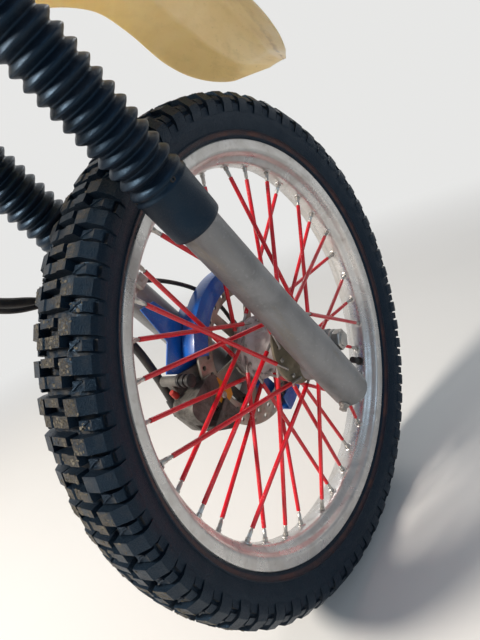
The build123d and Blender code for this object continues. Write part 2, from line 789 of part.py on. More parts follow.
# Bracket between the leg's lugs and the caliper, with an arm to each slide pin
lug_ahead = bracket_lug_height / 2 - bracket_lug_reach
lug_top = bracket_lug_rise + bracket_lug_spacing / 2
lug_foot = bracket_lug_rise - bracket_lug_spacing / 2
with BuildPart() as caliper_bracket:
    for lug_up, (pin_ahead, pin_up) in zip((lug_top, lug_foot), pins):
        with BuildSketch(leg_side_plane(bracket_outer)):
            with Locations((lug_ahead, lug_up)):
                Circle(bracket_lug_height / 2)
            with Locations((pin_ahead, pin_up)):
                Circle(pin_radius)
            make_hull()
        extrude(amount=bracket_outer - bracket_inner)
    with BuildSketch(leg_side_plane(bracket_outer)):
        with Locations((lug_ahead + 1, bracket_lug_rise)):
            Rectangle(11, bracket_lug_spacing)
    extrude(amount=bracket_outer - bracket_inner)
    with BuildSketch(leg_side_plane(bracket_outer)):
        with Locations((lug_ahead, lug_top), (lug_ahead, lug_foot)):
            Circle(4)
    extrude(amount=bracket_outer - bracket_inner, mode=Mode.SUBTRACT)
caliper_bracket.part.label = "caliper_bracket"
export_step(caliper_bracket.part, "parts/caliper_bracket.step")

# Ribbed rubber boots over the slide pins: a long one inside the bracket, a short one under the lower ear
# Columns: pin, y where the boot starts, length of a rib and number of ribs
boots = (
    (pins[0], bracket_inner, 4.3, 5),
    (pins[1], ear_inner_y, (ear_inner_y - bracket_outer) / 3, 3),
)
with BuildPart() as pin_boots:
    for (pin_ahead, pin_up), boot_y, rib_length, rib_count in boots:
        for rib in range(rib_count):
            with BuildSketch(leg_side_plane(boot_y - rib * rib_length)):
                with Locations((pin_ahead, pin_up)):
                    Circle(pin_radius - 0.5 if rib % 2 else pin_radius + 1.5)
            extrude(amount=rib_length)
pin_boots.part.label = "pin_boots"
export_step(pin_boots.part, "parts/pin_boots.step")

# Bolts through the bracket and the lugs
with BuildPart() as bracket_bolts:
    for bolt_up in (lug_top, lug_foot):
        with BuildSketch(leg_side_plane(bracket_lug_outer)):
            with Locations((lug_ahead, bolt_up)):
                RegularPolygon(6.5, 6)
        extrude(amount=-5)
bracket_bolts.part.label = "bracket_bolts"
export_step(bracket_bolts.part, "parts/bracket_bolts.step")

# Guard round the front of the disc: an outer plate, a rim wall and an inner lip
guard_start = -80.0
guard_end = 156.0
pad_up = sqrt((guard_radius - 8) ** 2 - (axle_lead - guard_pad_x) ** 2)
tab_low = 14 - guard_radius
tab_high = -54.0
with BuildPart() as disc_guard:
    for inner_radius, from_y, to_y in (
        (guard_radius - 36, guard_outer_y - guard_wall, guard_outer_y),
        (guard_radius - guard_wall, guard_inner_y, guard_outer_y),
        (guard_radius - guard_lip, guard_inner_y, guard_inner_y + guard_wall),
    ):
        with BuildSketch(side_plane(to_y)):
            with BuildLine():
                CenterArc((0, 0), guard_radius, guard_start, guard_end - guard_start)
                CenterArc((0, 0), inner_radius, guard_start, guard_end - guard_start)
                for edge_angle in (guard_start, guard_end):
                    edge_cos = cos(radians(edge_angle))
                    edge_sin = sin(radians(edge_angle))
                    Line(
                        (inner_radius * edge_cos, inner_radius * edge_sin),
                        (guard_radius * edge_cos, guard_radius * edge_sin),
                    )
            make_face()
        extrude(amount=to_y - from_y)
    # A tab below the leg, and two pads that meet the leg where its radius is known
    with BuildSketch(leg_side_plane(guard_outer_y)):
        with Locations((guard_pad_x, (tab_low + tab_high) / 2)):
            Rectangle(20, tab_high - tab_low)
    extrude(amount=guard_wall)
    for pad_along, leg_radius in ((pad_up, slider_radius), (tab_high - 8, slider_foot_radius)):
        with BuildSketch(leg_side_plane(guard_outer_y)):
            with Locations((guard_pad_x, pad_along)):
                Rectangle(20, 12)
        extrude(amount=-(leg_y - 14 - guard_outer_y))
        with BuildSketch(fork_plane.offset(pad_along - axle_drop - 10)):
            with Locations((leg_x, leg_y)):
                Circle(leg_radius)
        extrude(amount=20, mode=Mode.SUBTRACT)
disc_guard.part.label = "disc_guard"
export_step(disc_guard.part, "parts/disc_guard.step")

# Guard over the caliper and the lower part of the left leg, standing on the upper lug
cover_foot = lug_top + bracket_lug_height / 2
cover_height = 113.0
cover_reach = 74.0
with BuildPart() as caliper_guard:
    with BuildSketch(leg_side_plane(cover_outer_y)):
        with BuildLine():
            Polyline(
                (2, cover_foot),
                (3, cover_foot + 0.3 * cover_height),
                (-5, cover_foot + 0.9 * cover_height),
                (-0.36 * cover_reach, cover_foot + cover_height),
                (-0.5 * cover_reach, cover_foot + 0.51 * cover_height),
                (-cover_reach, cover_foot + 0.34 * cover_height),
                (-0.68 * cover_reach, cover_foot),
                close=True,
            )
        make_face()
    extrude(amount=cover_wall)
    # Pad that meets the leg
    with BuildSketch(leg_side_plane(cover_outer_y)):
        with Locations((-10, cover_foot + 0.7 * cover_height)):
            Rectangle(12, 16)
    extrude(amount=-12)
    with BuildSketch(fork_plane.offset(cover_foot + 0.7 * cover_height - 10 - axle_drop)):
        with Locations((leg_x, leg_y)):
            Circle(slider_radius)
    extrude(amount=20, mode=Mode.SUBTRACT)
caliper_guard.part.label = "caliper_guard"
export_step(caliper_guard.part, "parts/caliper_guard.step")

# Mudguard: ruled sections from its tail to its tip
# Columns: distance ahead of the wheel centre, crown height, edge half width and edge height
clamp_foot = fork_plane.from_local_coords(Vector(0, 0, -lower_clamp_thickness)) - wheel_centre
seat_ahead = (-300.0, -215.0)
seat_height = [clamp_foot.Z + (ahead - clamp_foot.X) * tan(radians(rake)) for ahead in seat_ahead]
mudguard_sections = (
    (-345.0, 396.0, 50.0, 374.0),
    (seat_ahead[0], seat_height[0], 48.0, seat_height[0] - 22),
    (seat_ahead[1], seat_height[1], 46.0, seat_height[1] - 22),
    (-110.0, 506.0, 50.0, 478.0),
    (-10.0, 516.0, 60.0, 482.0),
    (57.0, 499.0, 75.0, 461.0),
    (118.0, 458.0, 82.0, 415.0),
    (170.0, 413.0, 73.0, 383.0),
    (223.0, 378.0, 50.0, 364.0),
    (284.0, 369.0, 15.0, 364.0),
)
with BuildPart() as mudguard:
    for ahead, crown, half_width, edge in mudguard_sections:
        with BuildSketch(
            Plane(origin=wheel_centre + Vector(ahead, 0, 0), x_dir=(0, 1, 0), z_dir=(1, 0, 0))
        ):
            shoulder = half_width * crown_share
            with BuildLine():
                Polyline(
                    (half_width, edge),
                    (shoulder, crown),
                    (-shoulder, crown),
                    (-half_width, edge),
                    (-half_width + mudguard_wall, edge),
                    (-shoulder + mudguard_wall * 0.6, crown - mudguard_wall),
                    (shoulder - mudguard_wall * 0.6, crown - mudguard_wall),
                    (half_width - mudguard_wall, edge),
                    close=True,
                )
            make_face()
    loft(ruled=True)
mudguard.part.label = "mudguard"
export_step(mudguard.part, "parts/mudguard.step")


def corner_radii(points):
    """Largest fillet radius at each corner of a route, from its runs and turns."""
    radii = []
    for before, corner, after in zip(points, points[1:], points[2:]):
        run_in = Vector(*corner) - Vector(*before)
        run_out = Vector(*after) - Vector(*corner)
        half_turn = radians(run_in.get_angle(run_out) / 2)
        shorter = min(run_in.length, run_out.length)
        radii.append(0.45 * shorter / tan(half_turn))
    return radii


# Routes from the wheel's end up to the upper clamp; x, y and z from the wheel centre
brake_hose_route = (
    (-136.0, 84.0, -12.0),
    (-134.0, 91.0, 32.0),
    (-156.0, 86.0, 118.0),
    (-212.0, 96.0, 190.0),
    (-290.0, 101.0, 222.0),
    (-352.0, 102.0, 285.0),
    (-358.0, 98.0, 365.0),
    (-322.0, 88.0, 440.0),
    (-352.0, 92.0, 522.0),
    (-381.0, 92.0, 577.4),
)
cable_route = (
    tuple(cable_start),
    tuple(cable_start + cable_rise),
    (-30.0, 66.0, 116.0),
    (-75.0, 68.0, 148.0),
    (-118.0, 60.0, 166.0),
    (-165.0, 64.0, 180.0),
    (-222.0, 79.0, 190.0),
    (-285.0, 83.0, 206.0),
    (-342.0, 85.0, 262.0),
    (-362.0, 83.0, 340.0),
    (-330.0, 74.0, 412.0),
    (-334.0, 73.0, 478.0),
    (-358.0, 76.0, 533.0),
    (-381.0, 76.0, 577.4),
)
cords = {}
for cord_name, route, cord_radius in (
    ("brake_hose", brake_hose_route, hose_radius),
    ("speedometer_cable", cable_route, cable_radius),
):
    route_points = [wheel_centre + Vector(*point) for point in route]
    radii = corner_radii(route)
    with BuildPart() as cord:
        with BuildLine() as cord_path:
            FilletPolyline(*route_points, radius=radii)
        with BuildSketch(Plane(origin=cord_path.line @ 0, z_dir=cord_path.line % 0)):
            Circle(cord_radius)
        sweep()
    cord.part.label = cord_name
    export_step(cord.part, f"parts/{cord_name}.step")
    cords[cord_name] = cord.part
    length = cord_path.wires()[0].length
    print(cord_name, "radii", [round(radius) for radius in radii], "length", round(length))

# Union that feeds the caliper: an eye under a bolt, a neck and a ferrule round the hose's end
hose_start = wheel_centre + Vector(*brake_hose_route[0])
hose_rise = Vector(*brake_hose_route[1]) - Vector(*brake_hose_route[0])
union_ahead = bridge_ahead - 2
eye_radius = 9.0
eye_height = 10.0
union_plane = leg_side_plane(caliper_outer_y)
eye_centre = union_plane.from_local_coords(Vector(union_ahead, caliper_rise, -eye_height / 2))
neck = hose_start - hose_rise.normalized() * 5 - eye_centre
with BuildPart() as hose_union:
    with BuildSketch(union_plane):
        with Locations((union_ahead, caliper_rise)):
            Circle(eye_radius)
    extrude(amount=-eye_height)
    with BuildSketch(union_plane.offset(-eye_height)):
        with Locations((union_ahead, caliper_rise)):
            RegularPolygon(7, 6)
    extrude(amount=-5)
    with BuildSketch(Plane(origin=eye_centre, z_dir=neck)):
        Circle(eye_height / 2 - 0.5)
    extrude(amount=neck.length)
    with BuildSketch(Plane(origin=hose_start, z_dir=hose_rise)):
        Circle(hose_radius + 1.8)
    extrude(amount=-7)
    with BuildSketch(Plane(origin=hose_start, z_dir=hose_rise)):
        Circle(hose_radius + 1.8)
        Circle(hose_radius, mode=Mode.SUBTRACT)
    extrude(amount=16)
hose_union.part.label = "hose_union"
export_step(hose_union.part, "parts/hose_union.step")

# Guide on the lower clamp that holds the hose and the cable
with BuildPart() as cord_guide:
    with BuildSketch(fork_plane.offset(-11)):
        with Locations((-21, 89.6)):
            Circle(9)
        with Locations((-21, 73.5)):
            Circle(6)
        with BuildLine():
            Polyline((-21, 68), (10, 78), (10, 98), (-21, 98), close=True)
        make_face()
        with Locations((leg_x, leg_y)):
            Circle(clamp_eye_radius, mode=Mode.SUBTRACT)
    extrude(amount=9)
    add(clamp_parts["lower_clamp"], mode=Mode.SUBTRACT)
    add(cords["brake_hose"], mode=Mode.SUBTRACT)
    add(cords["speedometer_cable"], mode=Mode.SUBTRACT)
cord_guide.part.label = "cord_guide"
export_step(cord_guide.part, "parts/cord_guide.step")

# Holder under the upper clamp that takes the ends of the hose and the cable
with BuildPart() as cord_holder:
    with BuildSketch(fork_plane.offset(upper_clamp_z - 3)):
        with Locations((0, 84)):
            Rectangle(24, 36)
    extrude(amount=3)
    with BuildSketch(fork_plane.offset(upper_clamp_z - 3)):
        with Locations((-3.35, 92)):
            Circle(hose_radius + 1.8)
        with Locations((-3.35, 76)):
            Circle(cable_radius + 1.8)
    extrude(amount=-20)
    add(cords["brake_hose"], mode=Mode.SUBTRACT)
    add(cords["speedometer_cable"], mode=Mode.SUBTRACT)
cord_holder.part.label = "cord_holder"
export_step(cord_holder.part, "parts/cord_holder.step")

# Band round the left slider with an eye for the cable
band_low = 194.0
band_height = 15.0
band_depth = 32.0
with BuildPart() as cable_clamp:
    with BuildSketch(fork_plane.offset(band_low - axle_drop)):
        with Locations((leg_x, leg_y)):
            Circle(slider_radius + 2.2)
        with Locations((leg_x + 4, leg_y - band_depth + 10)):
            Rectangle(16, 20)
        with Locations((leg_x, leg_y)):
            Circle(slider_radius, mode=Mode.SUBTRACT)
    extrude(amount=band_height)
    add(cords["speedometer_cable"], mode=Mode.SUBTRACT)
cable_clamp.part.label = "cable_clamp"
export_step(cable_clamp.part, "parts/cable_clamp.step")

# Bolts that hold the mudguard under the lower clamp, and the drain bolts behind the sliders
mudguard_drop = lower_clamp_thickness + mudguard_wall * cos(radians(rake))
with BuildPart() as mudguard_bolts:
    with BuildSketch(fork_plane.offset(-mudguard_drop)):
        with Locations((6, 16), (6, -16), (30, 16), (30, -16)):
            RegularPolygon(5.5, 6)
    extrude(amount=-4)
mudguard_bolts.part.label = "mudguard_bolts"
export_step(mudguard_bolts.part, "parts/mudguard_bolts.step")

drain_drop = slider_foot_drop - 12
with BuildPart() as drain_bolts:
    for y in (leg_y, -leg_y):
        drain_centre = fork_plane.from_local_coords(Vector(leg_x - slider_foot_radius, y, -axle_drop - drain_drop))
        drain_plane = Plane(origin=drain_centre, x_dir=(0, 1, 0), z_dir=-fork_plane.x_dir)
        with BuildSketch(drain_plane):
            Circle(6.5)
        extrude(amount=2.5)
        with BuildSketch(drain_plane.offset(2.5)):
            RegularPolygon(5.5, 6)
        extrude(amount=6)
drain_bolts.part.label = "drain_bolts"
export_step(drain_bolts.part, "parts/drain_bolts.step")

# Bleed screw on top of the caliper, under its cap
screw_radius = 4.0
with BuildPart() as bleed_screw:
    screw_plane = fork_plane.offset(bleeder[1] - axle_drop)
    with BuildSketch(screw_plane):
        with Locations((leg_x + bleeder[0], bracket_lug_outer - 7)):
            Circle(screw_radius)
    extrude(amount=4)
    with BuildSketch(screw_plane.offset(4)):
        with Locations((leg_x + bleeder[0], bracket_lug_outer - 7)):
            Circle(screw_radius + 0.6)
    extrude(amount=8, taper=8)
bleed_screw.part.label = "bleed_screw"
export_step(bleed_screw.part, "parts/bleed_screw.step")
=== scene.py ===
"""Looks of a dual sport motorcycle's front end: wheel, fork, disc brake, guards and mudguard.

Lengths are metres in the part's own frame: X forward, Y to the rider's left, Z up.
"""

import json
from math import cos, pi, radians, sin

import bmesh
import bpy
from mathutils import Matrix, Vector


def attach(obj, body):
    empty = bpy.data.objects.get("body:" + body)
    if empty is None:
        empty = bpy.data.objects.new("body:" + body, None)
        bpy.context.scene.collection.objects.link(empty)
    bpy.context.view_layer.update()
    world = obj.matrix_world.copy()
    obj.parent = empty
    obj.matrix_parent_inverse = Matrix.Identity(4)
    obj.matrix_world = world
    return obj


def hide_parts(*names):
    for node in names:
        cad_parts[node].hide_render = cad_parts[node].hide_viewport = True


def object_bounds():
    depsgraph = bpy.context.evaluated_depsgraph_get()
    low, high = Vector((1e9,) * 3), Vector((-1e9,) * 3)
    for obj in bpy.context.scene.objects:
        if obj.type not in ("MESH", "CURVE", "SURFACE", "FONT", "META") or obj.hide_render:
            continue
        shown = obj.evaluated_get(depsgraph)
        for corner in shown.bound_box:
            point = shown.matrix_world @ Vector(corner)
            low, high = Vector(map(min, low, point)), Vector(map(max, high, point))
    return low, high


bl_info = {
    "name": "Motorcycle Front End",
    "version": (1, 0, 0),
    "blender": (4, 5, 0),
    "location": "3D View > Sidebar > Front End",
    "description": "Dresses a packed front end with its tyre, spokes, gaiters, mudguard and finishes",
    "category": "Object",
}

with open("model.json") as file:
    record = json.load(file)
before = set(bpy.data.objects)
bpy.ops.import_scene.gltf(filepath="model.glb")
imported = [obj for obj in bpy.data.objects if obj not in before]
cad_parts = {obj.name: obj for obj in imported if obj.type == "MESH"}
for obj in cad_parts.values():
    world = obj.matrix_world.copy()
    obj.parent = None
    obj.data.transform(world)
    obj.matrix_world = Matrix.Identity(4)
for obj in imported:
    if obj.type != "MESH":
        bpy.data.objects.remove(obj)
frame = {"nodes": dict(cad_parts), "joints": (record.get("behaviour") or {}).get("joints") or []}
cad_box = [list(corner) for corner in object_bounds()]

RAKE = radians(27.5)
LEG_X = 0.035
LEG_Y = 0.088
AXLE_DROP = 0.550
FORK_FORWARD = Vector((cos(RAKE), 0, sin(RAKE)))
FORK_UP = Vector((-sin(RAKE), 0, cos(RAKE)))
FORWARD = Vector((1, 0, 0))
AXLE_WAY = Vector((0, 1, 0))
WHEEL_CENTRE = Vector(frame["joints"][0]["pos_m"])
# Degrees from straight ahead, turning up, where the tread's first pitch starts
TREAD_START = 134.5
# The spokes are groups of four, in a rim whose holes are evenly apart in degrees
SPOKE_GROUPS = 9
HOLE_START = 119.07
HOLE_PITCH = 10
# Columns: hole, y at the rim, turn from rim to hub, flange's circle, flange's y, y of the wire at the hub
SPOKES = (
    (1, 0.0047, 60.0, 0.039, 0.026, 0.0323),
    (2, -0.0047, 60.0, 0.045, -0.0355, -0.0418),
    (3, 0.0001, -60.0, 0.039, 0.026, 0.0217),
    (4, -0.0001, -60.0, 0.045, -0.0355, -0.0312),
)


def fork_point(ahead, left, up):
    """Point in the fork's own frame: ahead of the stem, left of it and up along it."""
    return FORK_FORWARD * ahead + Vector((0, left, 0)) + FORK_UP * up


def leg_point(ahead, up, left):
    """Point measured from the left leg's axis, at the height of the axle along the leg."""
    return fork_point(LEG_X + ahead, left, up - AXLE_DROP)


def wheel_point(radius, angle, left):
    """Point at a radius and an angle in degrees from straight ahead, turning up."""
    turn = radians(angle)
    return WHEEL_CENTRE + Vector((radius * cos(turn), left, radius * sin(turn)))


def mm(first, second, *pairs):
    """Pairs in metres: a first and a second length, each with millimetres added."""
    return [(first + one / 1000, second + other / 1000) for one, other in pairs]


# Sizes and colours that a user would change


def length(name, description, default):
    """A size in metres."""
    settings = {"min": 0.0, "subtype": "DISTANCE", "unit": "LENGTH", "precision": 4}
    return bpy.props.FloatProperty(name=name, description=description, default=default, **settings)


def colour(name, description, default):
    """A finish's colour."""
    settings = {"size": 3, "min": 0.0, "max": 1.0, "subtype": "COLOR"}
    return bpy.props.FloatVectorProperty(name=name, description=description, default=default, **settings)


class TyreSizes(bpy.types.PropertyGroup):
    """Sizes of the knobbly tyre."""

    knob_radius: length("Knob radius", "Radius at the top of the centre knobs", 0.3427)
    tread_radius: length("Tread radius", "Radius of the tyre between its knobs", 0.3303)
    side_width: length("Side width", "Half width at the side knobs", 0.0456)
    pitches: bpy.props.IntProperty(
        name="Pitches", description="Repeats of the tread's pattern", default=61, min=12
    )
    crumb_size: length("Crumb size", "Radius of a crumb of mud", 0.0013)
    crumb_density: bpy.props.FloatProperty(
        name="Crumb density", description="Crumbs on a square metre of tread", default=95000.0, min=0.0
    )


class WheelSizes(bpy.types.PropertyGroup):
    """Sizes of the rim, its nipples and spokes."""

    well_radius: length("Well radius", "Radius of the rim where the nipples sit", 0.2535)
    rim_radius: length("Rim radius", "Radius of the rim's edges", 0.2807)
    rim_half_width: length("Rim half width", "Half width over the rim's edges", 0.028)
    wire_radius: length("Wire radius", "Radius of a spoke's wire", 0.0018)
    cover_radius: length("Cover radius", "Radius of a spoke's coloured cover", 0.00295)


class GaiterSizes(bpy.types.PropertyGroup):
    """Sizes of the fork's rubber gaiters."""

    tip_radius: length("Tip radius", "Radius at the tips of the folds", 0.0286)
    valley_radius: length("Valley radius", "Radius between the folds", 0.0226)
    cuff_radius: length("Cuff radius", "Radius of the smooth lower cuff", 0.0278)
    folds: bpy.props.IntProperty(name="Folds", description="Folds above the cuff", default=14, min=3)


class CordSizes(bpy.types.PropertyGroup):
    """Sizes of the brake hose and the speedometer cable."""

    hose_radius: length("Hose radius", "Radius of the brake hose", 0.006)
    hose_length: length("Hose length", "Length of the brake hose", 0.699)
    cable_radius: length("Cable radius", "Radius of the speedometer cable", 0.003)
    cable_length: length("Cable length", "Length of the speedometer cable", 0.775)


class FinishColours(bpy.types.PropertyGroup):
    """Colours of the main finishes."""

    alloy: colour("Cast alloy", "Sliders and clamps", (0.275, 0.278, 0.285))
    rim: colour("Rim", "Rim's satin alloy", (0.66, 0.65, 0.635))
    sleeve: colour("Spoke covers", "Plastic covers on the spokes", (0.76, 0.002, 0.016))
    # Near-black rubber; the blue cast in these two is painted sheen of blue sky
    gaiter: colour("Gaiters", "Rubber of the gaiters", (0.004, 0.008, 0.015))
    tyre: colour("Tyre", "Rubber of the tyre", (0.004, 0.008, 0.015))
    dust: colour("Dust", "Dry dust on tyre and castings", (0.29, 0.235, 0.165))
    guard: colour("Guards", "Plastic of the brake's guards", (0.004, 0.115, 0.50))
    # Cream-orange: yellowed plastic, and partly painted sunlight glowing through it
    mudguard: colour("Mudguard", "Plastic of the mudguard", (0.95, 0.69, 0.405))


# Finishes: shader maths is written as expressions on wires

FINISHES = {}
# Blue tint on the rubber's reflections: a painted sheen of blue sky
PAINTED_SKY_SHEEN = (0.34, 0.64, 1.0, 1.0)
BACKDROP = (0.80, 0.80, 0.79, 1.0)


def feed(tree, node, inputs):
    """Links a node's inputs to wires and sockets, and sets the others to constants."""
    for key, value in inputs.items():
        value = getattr(value, "socket", value)
        if isinstance(value, bpy.types.NodeSocket):
            tree.links.new(value, node.inputs[key])
        else:
            node.inputs[key].default_value = value


def add_node(tree, kind, settings=None, inputs=None, output=0):
    """Adds a node, sets it up, feeds it and returns one of its outputs."""
    made = tree.nodes.new(kind)
    for key, value in (settings or {}).items():
        setattr(made, key, value)
    feed(tree, made, inputs or {})
    return made.outputs[output]


def blend(tree, output, factor, first, second):
    """Sends a mix of two shaders to a tree's output."""
    mixed = add_node(tree, "ShaderNodeMixShader", None, {0: factor, 1: first, 2: second})
    tree.links.new(mixed, tree.nodes[output].inputs["Surface"])


class Wire:
    """A socket whose arithmetic adds Math nodes to its material."""

    def __init__(self, paint, socket):
        self.paint = paint
        self.socket = socket

    def __add__(self, other):
        return self.paint.math("ADD", self, other)

    def __sub__(self, other):
        return self.paint.math("SUBTRACT", self, other)

    def __rsub__(self, other):
        return self.paint.math("SUBTRACT", other, self)

    def __mul__(self, other):
        return self.paint.math("MULTIPLY", self, other)

    def __truediv__(self, other):
        return self.paint.math("DIVIDE", self, other)

    def __pow__(self, other):
        return self.paint.math("POWER", self, other)

    def capped(self):
        """The value, but never over 1."""
        return self.paint.math("MINIMUM", self, 1.0)

    __radd__ = __add__
    __rmul__ = __mul__


class Paint:
    """A material built round one Principled shader."""

    def __init__(self, name, **constants):
        self.name = name
        self.material = bpy.data.materials.new(name)
        self.material.use_nodes = True
        self.tree = self.material.node_tree
        self.shader = self.tree.nodes["Principled BSDF"]
        self.use(**constants)
        self.place = self.node("ShaderNodeTexCoord", output="Object")

    def use(self, **values):
        """Feeds the shader's sockets and keeps the material as a finish."""
        feed(self.tree, self.shader, {key.replace("_", " "): value for key, value in values.items()})
        FINISHES[self.name] = self.material

    def node(self, kind, settings=None, inputs=None, output=0):
        """Adds a node and returns one of its outputs as a wire."""
        return Wire(self, add_node(self.tree, kind, settings, inputs, output))

    def math(self, operation, *values):
        """A Math node on wires and numbers."""
        return self.node("ShaderNodeMath", {"operation": operation}, dict(enumerate(values)))

    def mix(self, factor, first, second):
        """Mixes two colours, given as wires or as three numbers."""
        inputs = {0: factor}
        for index, value in ((6, first), (7, second)):
            inputs[index] = value if isinstance(value, Wire) else (*value, 1.0)
        return self.node("ShaderNodeMix", {"data_type": "RGBA"}, inputs, output=2)

    def noise(self, scale, detail=3.0, roughness=0.55, place=None, distortion=0.0):
        """Soft noise from 0 to 1, with its scale in cycles to the metre."""
        inputs = {
            "Vector": place or self.place,
            "Scale": scale,
            "Detail": detail,
            "Roughness": roughness,
            "Distortion": distortion,
        }
        return self.node("ShaderNodeTexNoise", None, inputs, output="Fac")

    def ramp(self, value, low, high):
        """Smooth step from 0 at low to 1 at high."""
        inputs = {"Value": value, "From Min": low, "From Max": high}
        return self.node("ShaderNodeMapRange", {"interpolation_type": "SMOOTHSTEP"}, inputs)

    def patches(self, scale, low, high, *noise, **more):
        """Noise in patches: 0 where it is under low and 1 where it is over high."""
        return self.ramp(self.noise(scale, *noise, **more), low, high)

    def specks(self, scale, low, high, where=(60, 0.52, 0.62)):
        """Small round dots inside a few patches."""
        inputs = {"Vector": self.place, "Scale": scale}
        dots = 1 - self.ramp(self.node("ShaderNodeTexVoronoi", None, inputs), low, high)
        return dots * self.patches(*where, 2)

    def stretched(self, turn, scale):
        """Object coordinates turned and then stretched."""
        mapping = {"Vector": self.place, "Rotation": turn, "Scale": scale}
        return self.node("ShaderNodeMapping", {"vector_type": "TEXTURE"}, mapping)

    def part(self, axis, vector=None):
        """One axis of a vector, or of the object coordinates."""
        return self.node("ShaderNodeSeparateXYZ", None, {0: vector or self.place}, output=axis)

    def from_axle(self):
        """Object coordinates measured from the wheel's centre."""
        inputs = {0: self.place, 1: WHEEL_CENTRE}
        return self.node("ShaderNodeVectorMath", {"operation": "SUBTRACT"}, inputs)

    def normal(self):
        """Which way a face looks."""
        return self.node("ShaderNodeNewGeometry", output="Normal")

    def bump(self, height, distance):
        """A bumped normal with its height in metres."""
        return self.node("ShaderNodeBump", None, {"Height": height, "Distance": distance, "Strength": 1.0})


def darker(tint, share):
    """A colour times a share, which brightens it when over 1."""
    return tuple(channel * share for channel in tint)


def metal(name, tint, dirt, roughness, dirt_share=0.5, scratch=0.35, metallic=0.9, grain=0.00006):
    """Worn metal: stains, fine scratches and specks of dirt."""
    paint = Paint(name)
    stains = paint.patches(24, 0.42, 0.66, 5, 0.62, distortion=0.6)
    blotches = paint.patches(95, 0.52, 0.72, 4, 0.6)
    scratches = paint.patches(1500, 0.60, 0.74, 2, 0.5, paint.stretched((0, -RAKE, 0), (1.0, 1.0, 14.0)))
    specks = paint.specks(420, 0.05, 0.16)
    dirty = (stains * dirt_share + blotches * (dirt_share * 0.5) + specks * 0.7).capped()
    clean = paint.mix(blotches * 0.5, tint, darker(tint, 0.8))
    worn = paint.mix(scratches * scratch, clean, darker(tint, 1.25))
    height = paint.noise(3200, 2, 0.6) + blotches * 1.5 - scratches * 0.8 + specks * 3
    paint.use(
        Base_Color=paint.mix(dirty, worn, dirt),
        Roughness=roughness + dirty * 0.30 + scratches * 0.06,
        Metallic=metallic - dirty * (metallic * 0.85),
        Normal=paint.bump(height, grain),
    )


def hub_metal(name, barrel, flange, grime):
    """Hub alloy: a pale barrel and left flange, a darker olive right flange that is painted shade, and grime
    in patches.
    """
    paint = Paint(name)
    # The right flange's olive colour is painted shade on its side away from the light; it is also rougher
    shaded_right_flange = 1 - paint.ramp(paint.part("Y"), -0.0345, -0.0315)
    stains = paint.patches(42, 0.46, 0.68, 5, 0.62, distortion=0.6)
    specks = paint.specks(380, 0.05, 0.15)
    shade = paint.mix(shaded_right_flange, barrel, flange)
    shade = paint.mix(stains * 0.5, shade, grime)
    shade = paint.mix(specks * 0.8, shade, (0.03, 0.027, 0.023))
    rough = 0.42 + stains * 0.25 + shaded_right_flange * 0.1
    relief = paint.bump(paint.noise(2600, 2, 0.6) + stains - specks * 3, 0.00010)
    paint.use(Base_Color=shade, Roughness=rough, Metallic=0.35 - stains * 0.25, Normal=relief)


def dry_mud(name, tint):
    """Crumbs of dry mud that stick to the tread."""
    paint = Paint(name, Specular_IOR_Level=0.15)
    shade = paint.mix(paint.patches(90, 0.35, 0.68, 4, 0.65), darker(tint, 0.45), darker(tint, 1.1))
    paint.use(Base_Color=shade, Roughness=0.92, Normal=paint.bump(paint.noise(1400, 4, 0.7), 0.0003))


def cast_metal(name, tint, dust):
    """Blasted alloy casting, with drips of dirt and small dark pits."""
    paint = Paint(name)
    clouds = paint.noise(15, 4, 0.6, distortion=0.8)
    drips = paint.patches(70, 0.50, 0.70, 5, 0.65, paint.stretched((0, -RAKE, 0), (1.0, 1.0, 6.0)))
    pits = paint.specks(260, 0.035, 0.10, (34, 0.50, 0.60))
    scuffs = paint.patches(260, 0.60, 0.70, 3, 0.6)
    base = paint.mix(paint.ramp(clouds, 0.35, 0.68), tint, darker(tint, 0.74))
    base = paint.mix(drips * 0.42, base, dust)
    base = paint.mix(scuffs * 0.28, base, darker(tint, 1.35))
    base = paint.mix(pits * 0.8, base, (0.05, 0.045, 0.04))
    rough = 0.43 + drips * 0.22 + clouds * 0.12 - scuffs * 0.08
    relief = paint.bump(paint.noise(2600, 2, 0.6) - pits * 4 + drips * 0.8, 0.00009)
    paint.use(Base_Color=base, Roughness=rough, Metallic=0.62 - drips * 0.4, Normal=relief)


def rubber(name, tint, dust, roughness, dust_share, sheen=(1.0, 1.0, 1.0, 1.0)):
    """Moulded rubber with dust that gathers on what looks up."""
    # sheen tints the reflections; a blue one is a painted sheen of blue sky
    paint = Paint(name, Specular_IOR_Level=0.4, Specular_Tint=sheen)
    film = paint.patches(38, 0.40, 0.72, 4, 0.62, distortion=0.5)
    grit = paint.patches(900, 0.55, 0.70, 3, 0.7)
    settled = paint.ramp(paint.part("Z", paint.normal()), 0.15, 0.95)
    mask = (film * dust_share + grit * film * 0.35 + settled * (dust_share * 0.4)).capped()
    relief = paint.bump(paint.noise(1800, 3, 0.6) + grit * 0.8, 0.00012)
    paint.use(Base_Color=paint.mix(mask, tint, dust), Roughness=roughness + mask * 0.35, Normal=relief)


